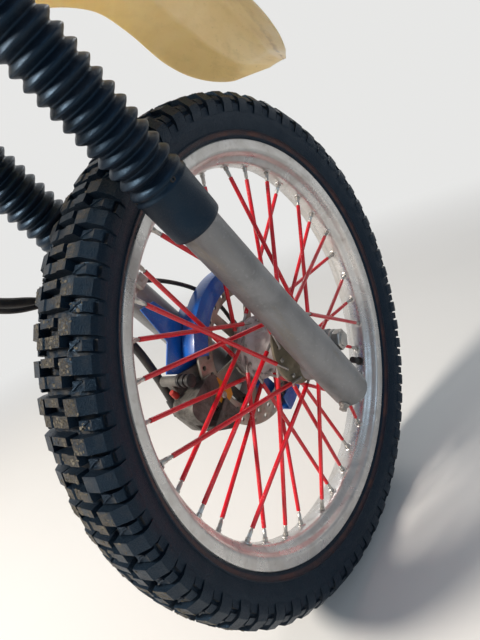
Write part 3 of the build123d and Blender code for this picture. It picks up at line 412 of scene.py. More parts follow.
def tyre_rubber(name, tint, dust, tread):
    """Tyre rubber: dust that is caked on the knobs and thin elsewhere, a brown line by the rim."""
    # Reflections tinted blue: a painted sheen of blue sky
    paint = Paint(name, Specular_IOR_Level=0.4, Specular_Tint=PAINTED_SKY_SHEEN)
    centred = paint.from_axle()
    ahead = paint.part("X", centred)
    up = paint.part("Z", centred)
    radius = (ahead * ahead + up * up) ** 0.5
    normal = paint.normal()
    outward = (paint.part("X", normal) * ahead + paint.part("Z", normal) * up) / radius
    tops = paint.ramp(outward, 0.80, 0.96) * paint.ramp(radius, tread + 0.006, tread + 0.010)
    floor = paint.ramp(outward, 0.55, 0.95) * (1 - paint.ramp(radius, tread, tread + 0.003))
    film = paint.patches(30, 0.38, 0.70, 4, 0.6, distortion=0.6)
    grit = paint.patches(700, 0.44, 0.66, 4, 0.72)
    caked = paint.patches(24, 0.45, 0.56, 4, 0.65)
    smear = paint.patches(120, 0.40, 0.65, 4, 0.6)
    beaded = paint.ramp(radius, 0.2832, 0.2846) * (1 - paint.ramp(radius, 0.2862, 0.2905))
    on_tops = 0.04 + grit * smear * 0.35 + caked * (0.22 + grit * 0.70)
    dusty = (tops * on_tops + floor * smear * 0.30 + film * grit * 0.02).capped()
    shade = paint.mix(dusty, tint, darker(dust, 0.72))
    shade = paint.mix(beaded * (0.30 + film * 0.5), shade, (0.15, 0.060, 0.035))
    height = paint.noise(1500, 3, 0.6) + grit * 1.6 + tops * caked * grit * 4
    rough = 0.34 + dusty * 0.5 + film * 0.14
    paint.use(Base_Color=shade, Roughness=rough, Normal=paint.bump(height, 0.00022))


def plastic(name, tint, dirt, roughness, dirt_share, coat):
    """Moulded plastic with hairline scratches, scuffs and a film of dirt."""
    paint = Paint(name, Coat_Roughness=0.12)
    film = paint.patches(20, 0.45, 0.75, 5, 0.62, distortion=0.7)
    hairs = paint.patches(900, 0.63, 0.72, 2, 0.5, paint.stretched((0.3, 0.5, 0.2), (1.0, 16.0, 1.0)))
    scuffs = paint.patches(130, 0.60, 0.72, 4, 0.66)
    grit = paint.patches(1100, 0.60, 0.72, 3, 0.7)
    mask = (film * dirt_share + scuffs * (dirt_share * 0.5) + grit * film * 0.3).capped()
    shade = paint.mix(paint.noise(9, 2), tint, darker(tint, 0.86))
    shade = paint.mix(hairs * 0.22, shade, (0.8, 0.8, 0.78))
    paint.use(
        Base_Color=paint.mix(mask, shade, dirt),
        Roughness=roughness + mask * 0.4 + hairs * 0.1,
        Coat_Weight=coat - mask * coat,
        Normal=paint.bump(paint.noise(600, 2, 0.5) - hairs * 0.9 + grit * film, 0.00005),
    )


def mudguard_plastic(name, tint):
    """Pale plastic that light shines through, dirtier towards its tip and lined by its right edge."""
    paint = Paint(
        name,
        Subsurface_Weight=0.34,
        Subsurface_Scale=0.02,
        Subsurface_Radius=(1.0, 0.62, 0.25),
        Coat_Roughness=0.18,
        Coat_Weight=0.25,
    )
    clouds = paint.patches(11, 0.35, 0.7, 4, 0.6, distortion=0.9)
    streaks = paint.patches(60, 0.48, 0.72, 4, 0.62, paint.stretched((0, 0, 0), (7.0, 1.0, 1.0)))
    splash = paint.patches(210, 0.60, 0.70, 4, 0.66)
    tip = paint.ramp(paint.part("X"), WHEEL_CENTRE.x + 0.10, WHEEL_CENTRE.x + 0.28)
    # The tint holds partly painted glow of sunlight through the plastic; the clouds vary it at random
    shade = paint.mix(clouds, tint, (tint[0] * 0.94, tint[1] * 0.89, tint[2] * 0.80))
    shade = paint.mix(streaks * (0.10 + tip * 0.25), shade, (0.46, 0.30, 0.13))
    shade = paint.mix(splash * (0.08 + tip * 0.30), shade, (0.25, 0.17, 0.09))
    border = paint.node("ShaderNodeAttribute", {"attribute_name": "border"}, output=2)
    ragged = (paint.noise(70, 5, 0.7) - 0.5) * 0.22 - border
    line = paint.ramp(ragged, 0.66, 0.72) * (1 - paint.ramp(ragged, 0.74, 0.84)) * tip
    shade = paint.mix(line * paint.patches(55, 0.35, 0.60, 3, 0.6) * 0.85, shade, (0.26, 0.15, 0.06))
    relief = paint.bump(paint.noise(300, 3, 0.5) + splash * 0.6 + line * 0.5, 0.00006)
    paint.use(Base_Color=shade, Roughness=0.34 + streaks * 0.2 + splash * 0.2, Normal=relief)


def studio_paper(name):
    """Pale paper: a lit floor round the part, and further away a plain backdrop to look at."""
    paint = Paint(name, Specular_IOR_Level=0.1)
    paint.use(Base_Color=paint.mix(paint.noise(3, 2), (0.80, 0.79, 0.77), (0.83, 0.82, 0.80)), Roughness=0.9)
    lengths = {"operation": "LENGTH"}
    away = paint.node("ShaderNodeVectorMath", lengths, {0: paint.from_axle()}, output="Value")
    seen = 0.0
    for ray in ("Is Camera Ray", "Is Glossy Ray", "Is Transmission Ray"):
        seen = paint.node("ShaderNodeLightPath", output=ray) + seen
    plain_share = seen.capped() * paint.ramp(away, 1.1, 2.6)
    glow = paint.node("ShaderNodeEmission", None, {"Color": BACKDROP})
    blend(paint.tree, "Material Output", plain_share, paint.shader.outputs[0], glow)


def make_finishes(colours, tread):
    """Makes every finish of the part, by its plain name."""
    dust = colours.dust
    mud = (0.16, 0.115, 0.075)
    grime = (0.055, 0.045, 0.035)
    cast_metal("cast_alloy", colours.alloy, dust)
    # The hub's second colour is the painted shade of its right flange
    hub_metal("hub_alloy", (0.58, 0.55, 0.54), (0.30, 0.265, 0.185), (0.15, 0.12, 0.09))
    dry_mud("dry_mud", (0.155, 0.140, 0.112))
    metal("rim_alloy", colours.rim, dust, 0.27, 0.22, 0.25, 0.85)
    metal("brake_alloy", (0.165, 0.155, 0.14), (0.035, 0.029, 0.023), 0.45, 0.85, 0.5, 0.55, 0.0003)
    metal("machined_steel", (0.46, 0.45, 0.43), (0.15, 0.09, 0.055), 0.32, 0.45, 0.3)
    metal("drive_metal", (0.30, 0.29, 0.27), mud, 0.45, 0.6, 0.2, 0.7, 0.00012)
    metal("stanchion_chrome", (0.74, 0.74, 0.75), dust, 0.10, 0.18, 0.15, 1.0, 0.00001)
    metal("cap_alloy", (0.30, 0.30, 0.31), dust, 0.30, 0.3)
    metal("disc_steel", (0.46, 0.43, 0.37), (0.20, 0.15, 0.09), 0.38, 0.55, 0.45, 0.9, 0.00005)
    metal("nipple_metal", (0.55, 0.54, 0.51), (0.2, 0.15, 0.1), 0.30, 0.35)
    rubber("pad_material", (0.05, 0.045, 0.04), mud, 0.8, 0.5)
    rubber("gaiter_rubber", colours.gaiter, (0.060, 0.055, 0.05), 0.36, 0.12, PAINTED_SKY_SHEEN)
    rubber("black_rubber", (0.013, 0.013, 0.014), (0.11, 0.09, 0.07), 0.42, 0.35)
    rubber("bleed_cap_red", (0.42, 0.015, 0.012), mud, 0.5, 0.3)
    tyre_rubber("tyre_rubber", colours.tyre, dust, tread)
    plastic("sleeve_red", colours.sleeve, (0.42, 0.10, 0.09), 0.28, 0.18, 0.35)
    plastic("guard_blue", colours.guard, (0.22, 0.20, 0.17), 0.30, 0.30, 0.4)
    plastic("yellow_paint", (0.72, 0.30, 0.012), grime, 0.4, 0.45, 0.1)
    mudguard_plastic("mudguard_cream", colours.mudguard)
    studio_paper("studio_paper")


# Meshes


def skin(mesh, low, high):
    """Quads between two closed loops with equally many points."""
    for index in range(len(low)):
        after = (index + 1) % len(low)
        mesh.faces.new((low[index], low[after], high[after], high[index]))


def lathe(mesh, origin, axis, across, profile, steps):
    """Turns a closed loop of (radius, along) points round an axis."""
    side = axis.cross(across)
    rings = []
    for step in range(steps):
        turn = 2 * pi * step / steps
        spoke = across * cos(turn) + side * sin(turn)
        rings.append([mesh.verts.new(origin + spoke * radius + axis * along) for radius, along in profile])
    for ring, following in zip(rings, rings[1:] + rings[:1]):
        skin(mesh, ring, following)


def both_sides(half):
    """A closed profile from its left half, which starts and ends in the middle."""
    return list(half) + [(radius, -left) for radius, left in half[-2:0:-1]]


def tube(mesh, points, radius, sides, bore=0.0):
    """A round bar, or a pipe with a bore, through points that bend little."""
    walls = [[], []] if bore else [[]]
    turns = [2 * pi * side / sides for side in range(sides)]
    for index, point in enumerate(points):
        before = points[max(index - 1, 0)]
        after = points[min(index + 1, len(points) - 1)]
        way = (after - before).normalized()
        first = (first - way * first.dot(way)).normalized() if index else way.orthogonal().normalized()
        second = way.cross(first)
        for wall, reach in zip(walls, (radius, bore)):
            wall.append([mesh.verts.new(point + (first * cos(t) + second * sin(t)) * reach) for t in turns])
    for wall in walls:
        for low, high in zip(wall, wall[1:]):
            skin(mesh, low, high)
    if bore:
        skin(mesh, walls[0][0], walls[1][0])
        skin(mesh, walls[0][-1], walls[1][-1])
    else:
        mesh.faces.new(walls[0][0][::-1])
        mesh.faces.new(walls[0][-1])


def knob(mesh, profile, pitch, first, last, draft=0.06):
    """A block of tread: (y, radius) points over shares of one pitch, wider at its foot by a draft."""
    top = max(radius for _, radius in profile)
    ends = []
    for share, sign in ((first, -1), (last, 1)):
        loop = []
        for left, radius in profile:
            spread = sign * draft * (top - radius) / radius * 180 / pi
            loop.append(mesh.verts.new(wheel_point(radius, TREAD_START + share * pitch + spread, left)))
        ends.append(loop)
    mesh.faces.new(ends[0][::-1])
    mesh.faces.new(ends[1])
    skin(mesh, *ends)


def smooth(data, sharp=35.0):
    """Shades mesh data smooth, apart from edges that bend by more than an angle in degrees."""
    data.polygons.foreach_set("use_smooth", [True] * len(data.polygons))
    data.set_sharp_from_angle(angle=radians(sharp))
    return data


def settle(mesh, sharp=35.0):
    """Turns a finished bmesh into mesh data with outward faces and smooth shading."""
    bmesh.ops.recalc_face_normals(mesh, faces=mesh.faces)
    data = bpy.data.meshes.new("piece")
    mesh.to_mesh(data)
    mesh.free()
    return smooth(data, sharp)


def show(name, data):
    """Adds an object to the scene."""
    shown = bpy.data.objects.new(name, data)
    bpy.context.scene.collection.objects.link(shown)
    return shown


def add_piece(name, data, body, slot, *nodes):
    """Adds a piece that rides on a body and stands for CAD nodes."""
    data.name = name
    piece = show(name, data)
    if not data.materials:
        data.materials.append(FINISHES[slot])
    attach(piece, body)
    if nodes:
        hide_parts(*nodes)
    return piece


def plain(data, modify):
    """Runs modifiers on mesh data and returns the plain result."""
    holder = show("holder", data)
    modify(holder)
    shown = holder.evaluated_get(bpy.context.evaluated_depsgraph_get())
    result = bpy.data.meshes.new_from_object(shown)
    bpy.data.objects.remove(holder)
    return result


def ease(holder, width, angle):
    """Rounds the edges that bend by more than an angle in degrees."""
    eased = holder.modifiers.new("Eased", "BEVEL")
    eased.width = width
    eased.segments = 2
    eased.limit_method = "ANGLE"
    eased.angle_limit = radians(angle)


class Tree:
    """A Geometry Nodes tree whose inputs are named."""

    def __init__(self, name, **inputs):
        self.tree = bpy.data.node_groups.new(name, "GeometryNodeTree")
        for label, kind in {"Geometry": "Geometry", **inputs}.items():
            self.tree.interface.new_socket(label, in_out="INPUT", socket_type=f"NodeSocket{kind}")
        self.tree.interface.new_socket("Geometry", in_out="OUTPUT", socket_type="NodeSocketGeometry")
        self.given = self.tree.nodes.new("NodeGroupInput").outputs

    def node(self, kind, settings=None, inputs=None, output=0):
        """Adds a node and returns one of its outputs."""
        return add_node(self.tree, kind, settings, inputs, output)

    def maths(self, operation, *values):
        """A Math node on sockets and numbers."""
        return self.node("ShaderNodeMath", {"operation": operation}, dict(enumerate(values)))

    def vector(self, operation, *values, output=0):
        """A Vector Math node on sockets and vectors."""
        return self.node("ShaderNodeVectorMath", {"operation": operation}, dict(enumerate(values)), output)

    def end(self, finish, **inputs):
        """Puts instances on points, makes them real, paints them and gives them back."""
        instances = self.node("GeometryNodeInstanceOnPoints", None, inputs)
        real = self.node("GeometryNodeRealizeInstances", None, {"Geometry": instances})
        painted = self.node("GeometryNodeSetMaterial", None, {"Geometry": real, "Material": FINISHES[finish]})
        self.tree.links.new(painted, self.tree.nodes.new("NodeGroupOutput").inputs[0])

    def run(self, data, **values):
        """Runs the tree on mesh data with its named inputs and returns one plain mesh."""
        items = self.tree.interface.items_tree
        sockets = {item.name: item.identifier for item in items if item.in_out == "INPUT"}

        def modify(holder):
            nodes = holder.modifiers.new("Nodes", "NODES")
            nodes.node_group = self.tree
            for label, value in values.items():
                nodes[sockets[label]] = value

        return plain(data, modify)


def ringed(data, copies, finish):
    """Repeats mesh data round the wheel's axle and returns one plain mesh."""
    tree = Tree(f"{finish}_ring", Copies="Int", Centre="Vector")
    centre = tree.given["Centre"]
    home = tree.vector("MULTIPLY", centre, (-1.0, -1.0, -1.0))
    one = tree.node("GeometryNodeTransform", None, {"Geometry": tree.given["Geometry"], "Translation": home})
    points = tree.node("GeometryNodePoints", None, {"Count": tree.given["Copies"], "Position": centre})
    share = tree.maths("DIVIDE", tree.node("GeometryNodeInputIndex"), tree.given["Copies"])
    turn = tree.node("ShaderNodeCombineXYZ", None, {"Y": tree.maths("MULTIPLY", share, 2 * pi)})
    rotation = tree.node("FunctionNodeEulerToRotation", None, {"Euler": turn})
    tree.end(finish, Points=points, Instance=one, Rotation=rotation)
    return tree.run(data, Copies=copies, Centre=WHEEL_CENTRE)


def crumbs_on_tread(knobs, floor_radius, size, density):
    """Scatters crumbs of mud over what faces away from the axle, thicker in patches."""
    tree = Tree("tread_crumbs", Centre="Vector", Floor="Float", Size="Float", Density="Float", Seed="Int")
    flat = tree.vector("MULTIPLY", tree.node("GeometryNodeInputPosition"), (1.0, 0.0, 1.0))
    middle = tree.vector("MULTIPLY", tree.given["Centre"], (1.0, 0.0, 1.0))
    outward = tree.vector("SUBTRACT", flat, middle)
    radius = tree.vector("LENGTH", outward, output="Value")
    way = tree.vector("NORMALIZE", outward)
    facing = tree.vector("DOT_PRODUCT", way, tree.node("GeometryNodeInputNormal"), output="Value")
    raised = tree.maths("GREATER_THAN", radius, tree.given["Floor"])
    top = tree.maths("MULTIPLY", tree.maths("GREATER_THAN", facing, 0.75), raised)
    cloud = tree.node("ShaderNodeTexNoise", None, {"Scale": 24.0, "Detail": 5.0}, output="Fac")
    patches = tree.node("ShaderNodeMapRange", None, {"Value": cloud, "From Min": 0.50, "From Max": 0.60})
    inputs = {
        "Mesh": tree.given["Geometry"],
        "Density": tree.maths("MULTIPLY", tree.maths("MULTIPLY", top, patches), tree.given["Density"]),
        "Seed": tree.given["Seed"],
    }
    points = tree.node("GeometryNodeDistributePointsOnFaces", None, inputs)
    crumb = tree.node("GeometryNodeMeshIcoSphere", None, {"Radius": tree.given["Size"], "Subdivisions": 1})
    flattened = {"Min": (0.2, 0.2, 0.15), "Max": (1.9, 1.5, 0.7), "Seed": 3}
    lumps = tree.node("FunctionNodeRandomValue", {"data_type": "FLOAT_VECTOR"}, flattened)
    rotation = points.node.outputs["Rotation"]
    tree.end("dry_mud", Points=points, Instance=crumb, Rotation=rotation, Scale=lumps)
    return tree.run(knobs, Centre=WHEEL_CENTRE, Floor=floor_radius, Size=size, Density=density, Seed=7)


def dress(node, body, slot, bevel):
    """Stands a merged copy of a CAD node in its place, with its hard edges eased."""
    mesh = bmesh.new()
    mesh.from_mesh(frame["nodes"][node].data)
    bmesh.ops.remove_doubles(mesh, verts=mesh.verts, dist=1e-6)
    bmesh.ops.dissolve_limit(mesh, angle_limit=radians(1.0), verts=mesh.verts, edges=mesh.edges)
    data = settle(mesh)
    if bevel:
        data = smooth(plain(data, lambda holder: ease(holder, bevel, 40)))
    add_piece(f"{node}_finish", data, body, slot, node)


# Operators: one for each piece or group of like pieces


class FRONT_OT_finishes(bpy.types.Operator):
    """Make the finishes"""

    bl_idname = "front_end.finishes"
    bl_label = "Finishes"

    def execute(self, context):
        make_finishes(context.scene.front_colours, context.scene.front_tyre.tread_radius)
        return {"FINISHED"}


class FRONT_OT_tyre(bpy.types.Operator):
    """Add the tyre's casing, its knobs and the mud on them"""

    bl_idname = "front_end.tyre"
    bl_label = "Tyre"

    def execute(self, context):
        sizes = context.scene.front_tyre
        edge = context.scene.front_wheel.rim_radius
        lip = context.scene.front_wheel.rim_half_width
        tread = sizes.tread_radius
        # Radius and y, from the tread's middle round the side and the bead, and back inside
        half = (
            *mm(tread, 0, (0, 0), (-0.2, 12), (-1, 24), (-3.5, 33.5), (-8, 39.5), (-14, 42.5)),
            *mm(tread, 0, (-21.5, 42.5), (-29, 40)),
            *mm(edge, 0, (14, 36.2), (10, 34.2), (9.4, 34.8), (8, 34.8), (7.4, 33)),
            *mm(edge, lip, (4, 3), (1.2, 1.2), (-1, -3.4), (-9.5, -4), (-15, -12.5)),
            *mm(edge, 0, (14, 30)),
            *mm(tread, 0, (-20, 37), (-6, 30), (-4.5, 0)),
        )
        mesh = bmesh.new()
        lathe(mesh, WHEEL_CENTRE, AXLE_WAY, FORWARD, both_sides(half), 244)
        casing = settle(mesh, 50)
        casing.materials.append(FINISHES["tyre_rubber"])

        pitch = 360.0 / sizes.pitches
        top = sizes.knob_radius
        wide = sizes.side_width
        # Y and radius of the four kinds of block
        centre = (
            *mm(0, tread, (-12.5, -2)),
            *mm(0, top, (-11.8, -0.3), (0, 0), (11.8, -0.3)),
            *mm(0, tread, (12.5, -2)),
        )
        broad = (
            *mm(0, tread, (-21.5, -4)),
            *mm(0, top, (-20, -1.4), (-7, -0.1), (-5.5, -1.8), (5.5, -1.8), (7, -0.1), (20, -1.4)),
            *mm(0, tread, (21.5, -4)),
        )
        tall = (
            *mm(0, tread, (16.8, -5)),
            *mm(0, top, (17.6, -1.6), (33.5, -4.6), (36.2, -7.5)),
            *mm(wide, top, (-1, -17), (0, -24), (-2.2, -33), (-5.2, -36.5)),
            *mm(0, top, (39, -30)),
        )
        low = (
            *mm(0, tread, (25.2, -7)),
            *mm(0, top, (26.2, -7.8), (39, -11.8)),
            *mm(wide, top, (-3.6, -15.5), (-1.6, -19.5), (-4.2, -20.3), (-4.4, -23.2), (-1.2, -24.5)),
            *mm(wide, top, (-3, -32), (-6, -34.5)),
            *mm(0, top, (38, -30)),
        )
        knobs = bmesh.new()
        knob(knobs, centre, pitch, -0.03, 0.20)
        knob(knobs, broad, pitch, 0.43, 0.73, 0.05)
        for side in (-1, 1):
            knob(knobs, [(side * left, radius) for left, radius in tall], pitch, 0.01, 0.44)
            knob(knobs, [(side * left, radius) for left, radius in low], pitch, 0.60, 0.86)
            # A thin rib bends across the low block's top
            rib = []
            for step in range(7):
                share = step / 6
                radius = top - 0.0110 + 0.0036 * share
                angle = TREAD_START + pitch * (0.62 + 0.22 * share**1.4)
                left = side * (0.0372 - 0.0110 * share)
                rib.append(wheel_point(radius, angle, left))
            tube(knobs, rib, 0.0011, 6)
        hard = [e for e in knobs.edges if len(e.link_faces) == 2 and e.calc_face_angle(0.0) > radians(38)]
        bmesh.ops.bevel(
            knobs, geom=hard, offset=0.0009, segments=2, profile=0.6, affect="EDGES", clamp_overlap=True
        )
        ring = ringed(settle(knobs, 32), sizes.pitches, "tyre_rubber")
        add_piece("tyre_casing", casing, "wheel", "tyre_rubber", "tyre")
        add_piece("tyre_knobs", ring, "wheel", "tyre_rubber", "tyre")
        crumbs = crumbs_on_tread(ring.copy(), tread + 0.004, sizes.crumb_size, sizes.crumb_density)
        add_piece("tyre_mud", crumbs, "wheel", "dry_mud")
        return {"FINISHED"}


class FRONT_OT_rim(bpy.types.Operator):
    """Add the rim with the nipples' seats"""

    bl_idname = "front_end.rim"
    bl_label = "Rim"

    def execute(self, context):
        sizes = context.scene.front_wheel
        well = sizes.well_radius
        edge = sizes.rim_radius
        lip = sizes.rim_half_width
        # Radius and y, from the well's inside to the edge and back along the tyre's side
        half = (
            *mm(well, 0, (0, 0), (0.2, 6), (0.9, 9.5), (3.5, 12.5), (7.5, 15), (9.5, 18.5), (10.5, 23.5)),
            *mm(well, 0, (12.5, 26.2), (16, 27.4)),
            *mm(edge, 0, (-5, 27.6)),
            *mm(edge, lip, (-3.5, 0), (-1.2, 0.1), (0, -1.2), (-0.6, -3), (-9.5, -3.8), (-12.5, -6)),
            *mm(edge, lip, (-15.5, -12.5)),
            *mm(well, lip, (4.2, -19)),
            *mm(well, 0, (3.2, 0)),
        )
        mesh = bmesh.new()
        lathe(mesh, WHEEL_CENTRE, AXLE_WAY, FORWARD, both_sides(half), 300)
        add_piece("rim_channel", settle(mesh, 40), "wheel", "rim_alloy", "rim")

        seats = bmesh.new()
        seat = mm(0, 0, (7.2, -1.2), (6.8, 0.4), (5.2, 1.3), (3.8, 1.1), (3.6, -1.2))
        for hole, left, *_ in SPOKES:
            angle = HOLE_START + HOLE_PITCH * hole
            outward = (wheel_point(1, angle, 0) - WHEEL_CENTRE).normalized()
            lathe(seats, wheel_point(well, angle, left), -outward, AXLE_WAY, seat, 20)
        add_piece("nipple_seats", ringed(settle(seats), SPOKE_GROUPS, "rim_alloy"), "wheel", "rim_alloy")
        return {"FINISHED"}


class FRONT_OT_spokes(bpy.types.Operator):
    """Add the spokes with their covers and nipples"""

    bl_idname = "front_end.spokes"
    bl_label = "Spokes"

    def execute(self, context):
        sizes = context.scene.front_wheel
        wires = bmesh.new()
        covers = bmesh.new()
        nipples = bmesh.new()
        elbow = 0.0042
        # Radius and distance along: a spoke's head, a nipple's round shank and its square
        head = mm(0, 0, (0.2, 1.6), (2.4, 1), (3.4, 0), (3.4, -0.6), (0.2, -0.6))
        shank = (
            *mm(0, 0, (0.1, -0.5), (3.3, -0.5), (3.4, 5.5), (2.6, 6.2)),
            *mm(0, 0, (2.6, 14.6), (1.9, 15.6), (0.1, 15.6)),
        )
        square = mm(0, 0, (0.2, 6.1), (3.2, 6.3), (3.3, 10), (2.8, 11.2), (0.2, 11.2))
        for hole, rim_left, sweep, circle, flange, wire_left in SPOKES:
            angle = HOLE_START + HOLE_PITCH * hole
            outer = wheel_point(sizes.well_radius, angle, rim_left)
            inner = wheel_point(circle, angle + sweep, wire_left)
            way = (inner - outer).normalized()
            span = (inner - outer).length
            hook = Vector((inner.x, 2 * flange - wire_left, inner.z))
            turn_in = (hook - inner).normalized()
            path = [outer + way * 0.012]
            for step in range(6):
                share = step / 5
                path.append(inner - way * elbow * (1 - share) ** 2 + turn_in * elbow * share**2)
            tube(wires, [*path, hook], sizes.wire_radius, 10)
            lathe(wires, hook, turn_in, way, head, 12)
            wear = 0.0006 * (4 - hole)
            cover = [outer + way * reach for reach in (0.0165 + wear, span * 0.5, span - 0.022 - wear)]
            tube(covers, cover, sizes.cover_radius, 14, sizes.wire_radius)
            lathe(nipples, outer, way, AXLE_WAY, shank, 14)
            lathe(nipples, outer, way, AXLE_WAY, square, 4)
        for name, mesh, slot, node in (
            ("spoke_wires", wires, "machined_steel", "spokes"),
            ("spoke_covers", covers, "sleeve_red", "spoke_sleeves"),
            ("spoke_nipples", nipples, "nipple_metal", "nipples"),
        ):
            add_piece(name, ringed(settle(mesh), SPOKE_GROUPS, slot), "wheel", slot, node)
        return {"FINISHED"}


class FRONT_OT_gaiters(bpy.types.Operator):
    """Add the two rubber gaiters with their folds"""

    bl_idname = "front_end.gaiters"
    bl_label = "Gaiters"

    def execute(self, context):
        sizes = context.scene.front_gaiter
        # Heights along the fork
        foot = -0.294
        slider_top = -0.2495
        cuff_top = foot + 0.066
        head = -0.045
        top = -0.037
        step = (head - cuff_top) / sizes.folds
        tip = sizes.tip_radius
        valley = sizes.valley_radius
        cuff = sizes.cuff_radius
        outline = [
            *mm(0, foot, (22.5, 0.5)),
            *mm(cuff, foot, (-1.4, 0), (-0.6, 0.6), (-0.2, 5), (0, 20)),
            *mm(cuff, cuff_top, (0.3, -17), (1.2, -15.5), (1.2, -13.5), (-0.8, -12), (-0.8, -9.5)),
            *mm(cuff, cuff_top, (0.8, -8), (0.8, -5.5), (-1.4, -3.5)),
        ]
        # Share of a fold's height and of its depth, up to the tip and back to the valley
        rise = ((0.06, 0.04), (0.13, 0.22), (0.27, 0.62), (0.40, 0.90), (0.47, 1.00))
        fall = ((0.53, 1.00), (0.60, 0.90), (0.73, 0.62), (0.87, 0.22), (0.94, 0.04))
        for index in range(sizes.folds):
            for height, depth in ((0.00, 0.00), *rise, *fall):
                outline.append((valley + (tip - valley) * depth, cuff_top + (index + height) * step))
        outline += [
            *mm(valley, head, (0, 0), (0.4, 2)),
            *mm(valley, top, (-0.4, 0)),
            *mm(0, top, (18.6, 0)),
            *mm(0, head, (18.6, 0), (20.8, -4)),
            *mm(0, cuff_top, (20.8, 0), (25.2, -6)),
            *mm(0, slider_top, (25.2, 0)),
            *mm(0, foot, (25.2, 4)),
        ]
        rim = mm(0, 0, (1.4, 0), (1.4, 1.4), (2.8, 1.2), (3, 0), (0.1, -0.2), (0.1, 0.2))
        for side, left in (("left", LEG_Y), ("right", -LEG_Y)):
            mesh = bmesh.new()
            lathe(mesh, fork_point(LEG_X, left, 0), FORK_UP, FORK_FORWARD, outline, 96)
            add_piece(f"gaiter_folds_{side}", settle(mesh, 60), "fork", "gaiter_rubber", f"gaiter_{side}")
            vents = bmesh.new()
            for turn in (40.0, 140.0, 250.0):
                across = FORK_FORWARD * cos(radians(turn)) + AXLE_WAY * sin(radians(turn))
                hole = fork_point(LEG_X, left, cuff_top - 0.0105) + across * (cuff - 0.0012)
                lathe(vents, hole, across, FORK_UP, rim, 14)
            add_piece(f"gaiter_vents_{side}", settle(vents), "fork", "black_rubber")
        return {"FINISHED"}


class FRONT_OT_cords(bpy.types.Operator):
    """Add the brake hose and the speedometer cable"""

    bl_idname = "front_end.cords"
    bl_label = "Hose and cable"

    def execute(self, context):
        sizes = context.scene.front_cords
        # Millimetres from the wheel's centre
        hose = (
            *((-136, 84, -12), (-134, 91, 32), (-156, 86, 118), (-212, 96, 190), (-290, 101, 222)),
            *((-352, 102, 285), (-358, 98, 365), (-322, 88, 440), (-352, 92, 522), (-381, 92, 577.4)),
        )
        cable = (
            *((6, 58.5, 35), (2, 62, 75), (-30, 66, 116), (-75, 68, 148), (-118, 60, 166)),
            *((-165, 64, 180), (-222, 79, 190), (-285, 83, 206), (-342, 85, 262), (-362, 83, 340)),
            *((-330, 74, 412), (-334, 73, 478), (-358, 76, 533), (-381, 76, 577.4)),
        )
        for name, route, radius, real_length in (
            ("brake_hose", hose, sizes.hose_radius, sizes.hose_length),
            ("speedometer_cable", cable, sizes.cable_radius, sizes.cable_length),
        ):
            points = [WHEEL_CENTRE + Vector(place) / 1000 for place in route]
            line = bpy.data.curves.new(name, "CURVE")
            line.dimensions = "3D"
            spline = line.splines.new("NURBS")
            spline.points.add(len(points) - 1)
            for knot, point in zip(spline.points, points):
                knot.co = (*point, 1.0)
            spline.order_u = 3
            spline.use_endpoint_u = True
            spline.resolution_u = 16
            line.bevel_depth = radius
            line.bevel_resolution = 5
            line.use_fill_caps = True
            piece = add_piece(f"{name}_line", line, "fork", "black_rubber", name)
        return {"FINISHED"}


class FRONT_OT_mudguard(bpy.types.Operator):
    """Add the high mudguard"""

    bl_idname = "front_end.mudguard"
    bl_label = "Mudguard"

    def execute(self, context):
        # Columns: distance ahead of the wheel's centre, crown height, half width and edge height
        sections = (
            (-0.345, 0.3960, 0.050, 0.374),
            (-0.300, 0.4243, 0.048, 0.402),
            (-0.215, 0.4686, 0.046, 0.446),
            (-0.110, 0.5060, 0.050, 0.478),
            (-0.010, 0.5160, 0.060, 0.482),
            (0.057, 0.4990, 0.075, 0.461),
            (0.118, 0.4580, 0.082, 0.415),
            (0.170, 0.4130, 0.073, 0.383),
            (0.223, 0.3780, 0.050, 0.364),
            (0.284, 0.3646, 0.016, 0.3640),
        )
        last = len(sections) - 1
        rows = []
        for index in range(last):
            ends = [sections[min(max(index + shift, 0), last)] for shift in (-1, 0, 1, 2)]
            for step in range(8):
                t = step / 8
                weights = (
                    -0.5 * t + t * t - 0.5 * t**3,
                    1 - 2.5 * t * t + 1.5 * t**3,
                    0.5 * t + 2 * t * t - 1.5 * t**3,
                    -0.5 * t * t + 0.5 * t**3,
                )
                row = [sum(w * end[column] for w, end in zip(weights, ends)) for column in range(4)]
                straight = [low + (high - low) * t for low, high in zip(ends[1], ends[2])]
                # The front end is straight, and so is the crown over the two rear stretches
                if index == last - 1:
                    row = straight
                if index < 2:
                    row[1] = straight[1]
                rows.append(row)
        rows.append(sections[-1])
        mesh = bmesh.new()
        shares = [2 * column / 32 - 1 for column in range(33)]
        grid = []
        for ahead, crown, half, edge in rows:
            line = []
            for share in shares:
                fall = max(0.0, (abs(share) - 0.44) / 0.56)
                soft = fall**1.15 if fall < 1 else 1.0
                height = crown - (crown - edge) * soft - 0.0006
                line.append(mesh.verts.new(WHEEL_CENTRE + Vector((ahead, share * half, height))))
            grid.append(line)
        for low, high in zip(grid, grid[1:]):
            for column in range(len(shares) - 1):
                mesh.faces.new((low[column], high[column], high[column + 1], low[column + 1]))
        bmesh.ops.recalc_face_normals(mesh, faces=mesh.faces)
        if sum(face.normal.z for face in mesh.faces) < 0:
            bmesh.ops.reverse_faces(mesh, faces=mesh.faces)
        sheet = bpy.data.meshes.new("sheet")
        mesh.to_mesh(sheet)
        mesh.free()
        border = sheet.attributes.new("border", "FLOAT", "POINT")
        border.data.foreach_set("value", shares * len(grid))

        def modify(holder):
            wall = holder.modifiers.new("Wall", "SOLIDIFY")
            wall.thickness = 0.0024
            wall.offset = -1
            ease(holder, 0.0007, 60)

        add_piece("mudguard_blade", smooth(plain(sheet, modify), 50), "fork", "mudguard_cream", "mudguard")
        return {"FINISHED"}


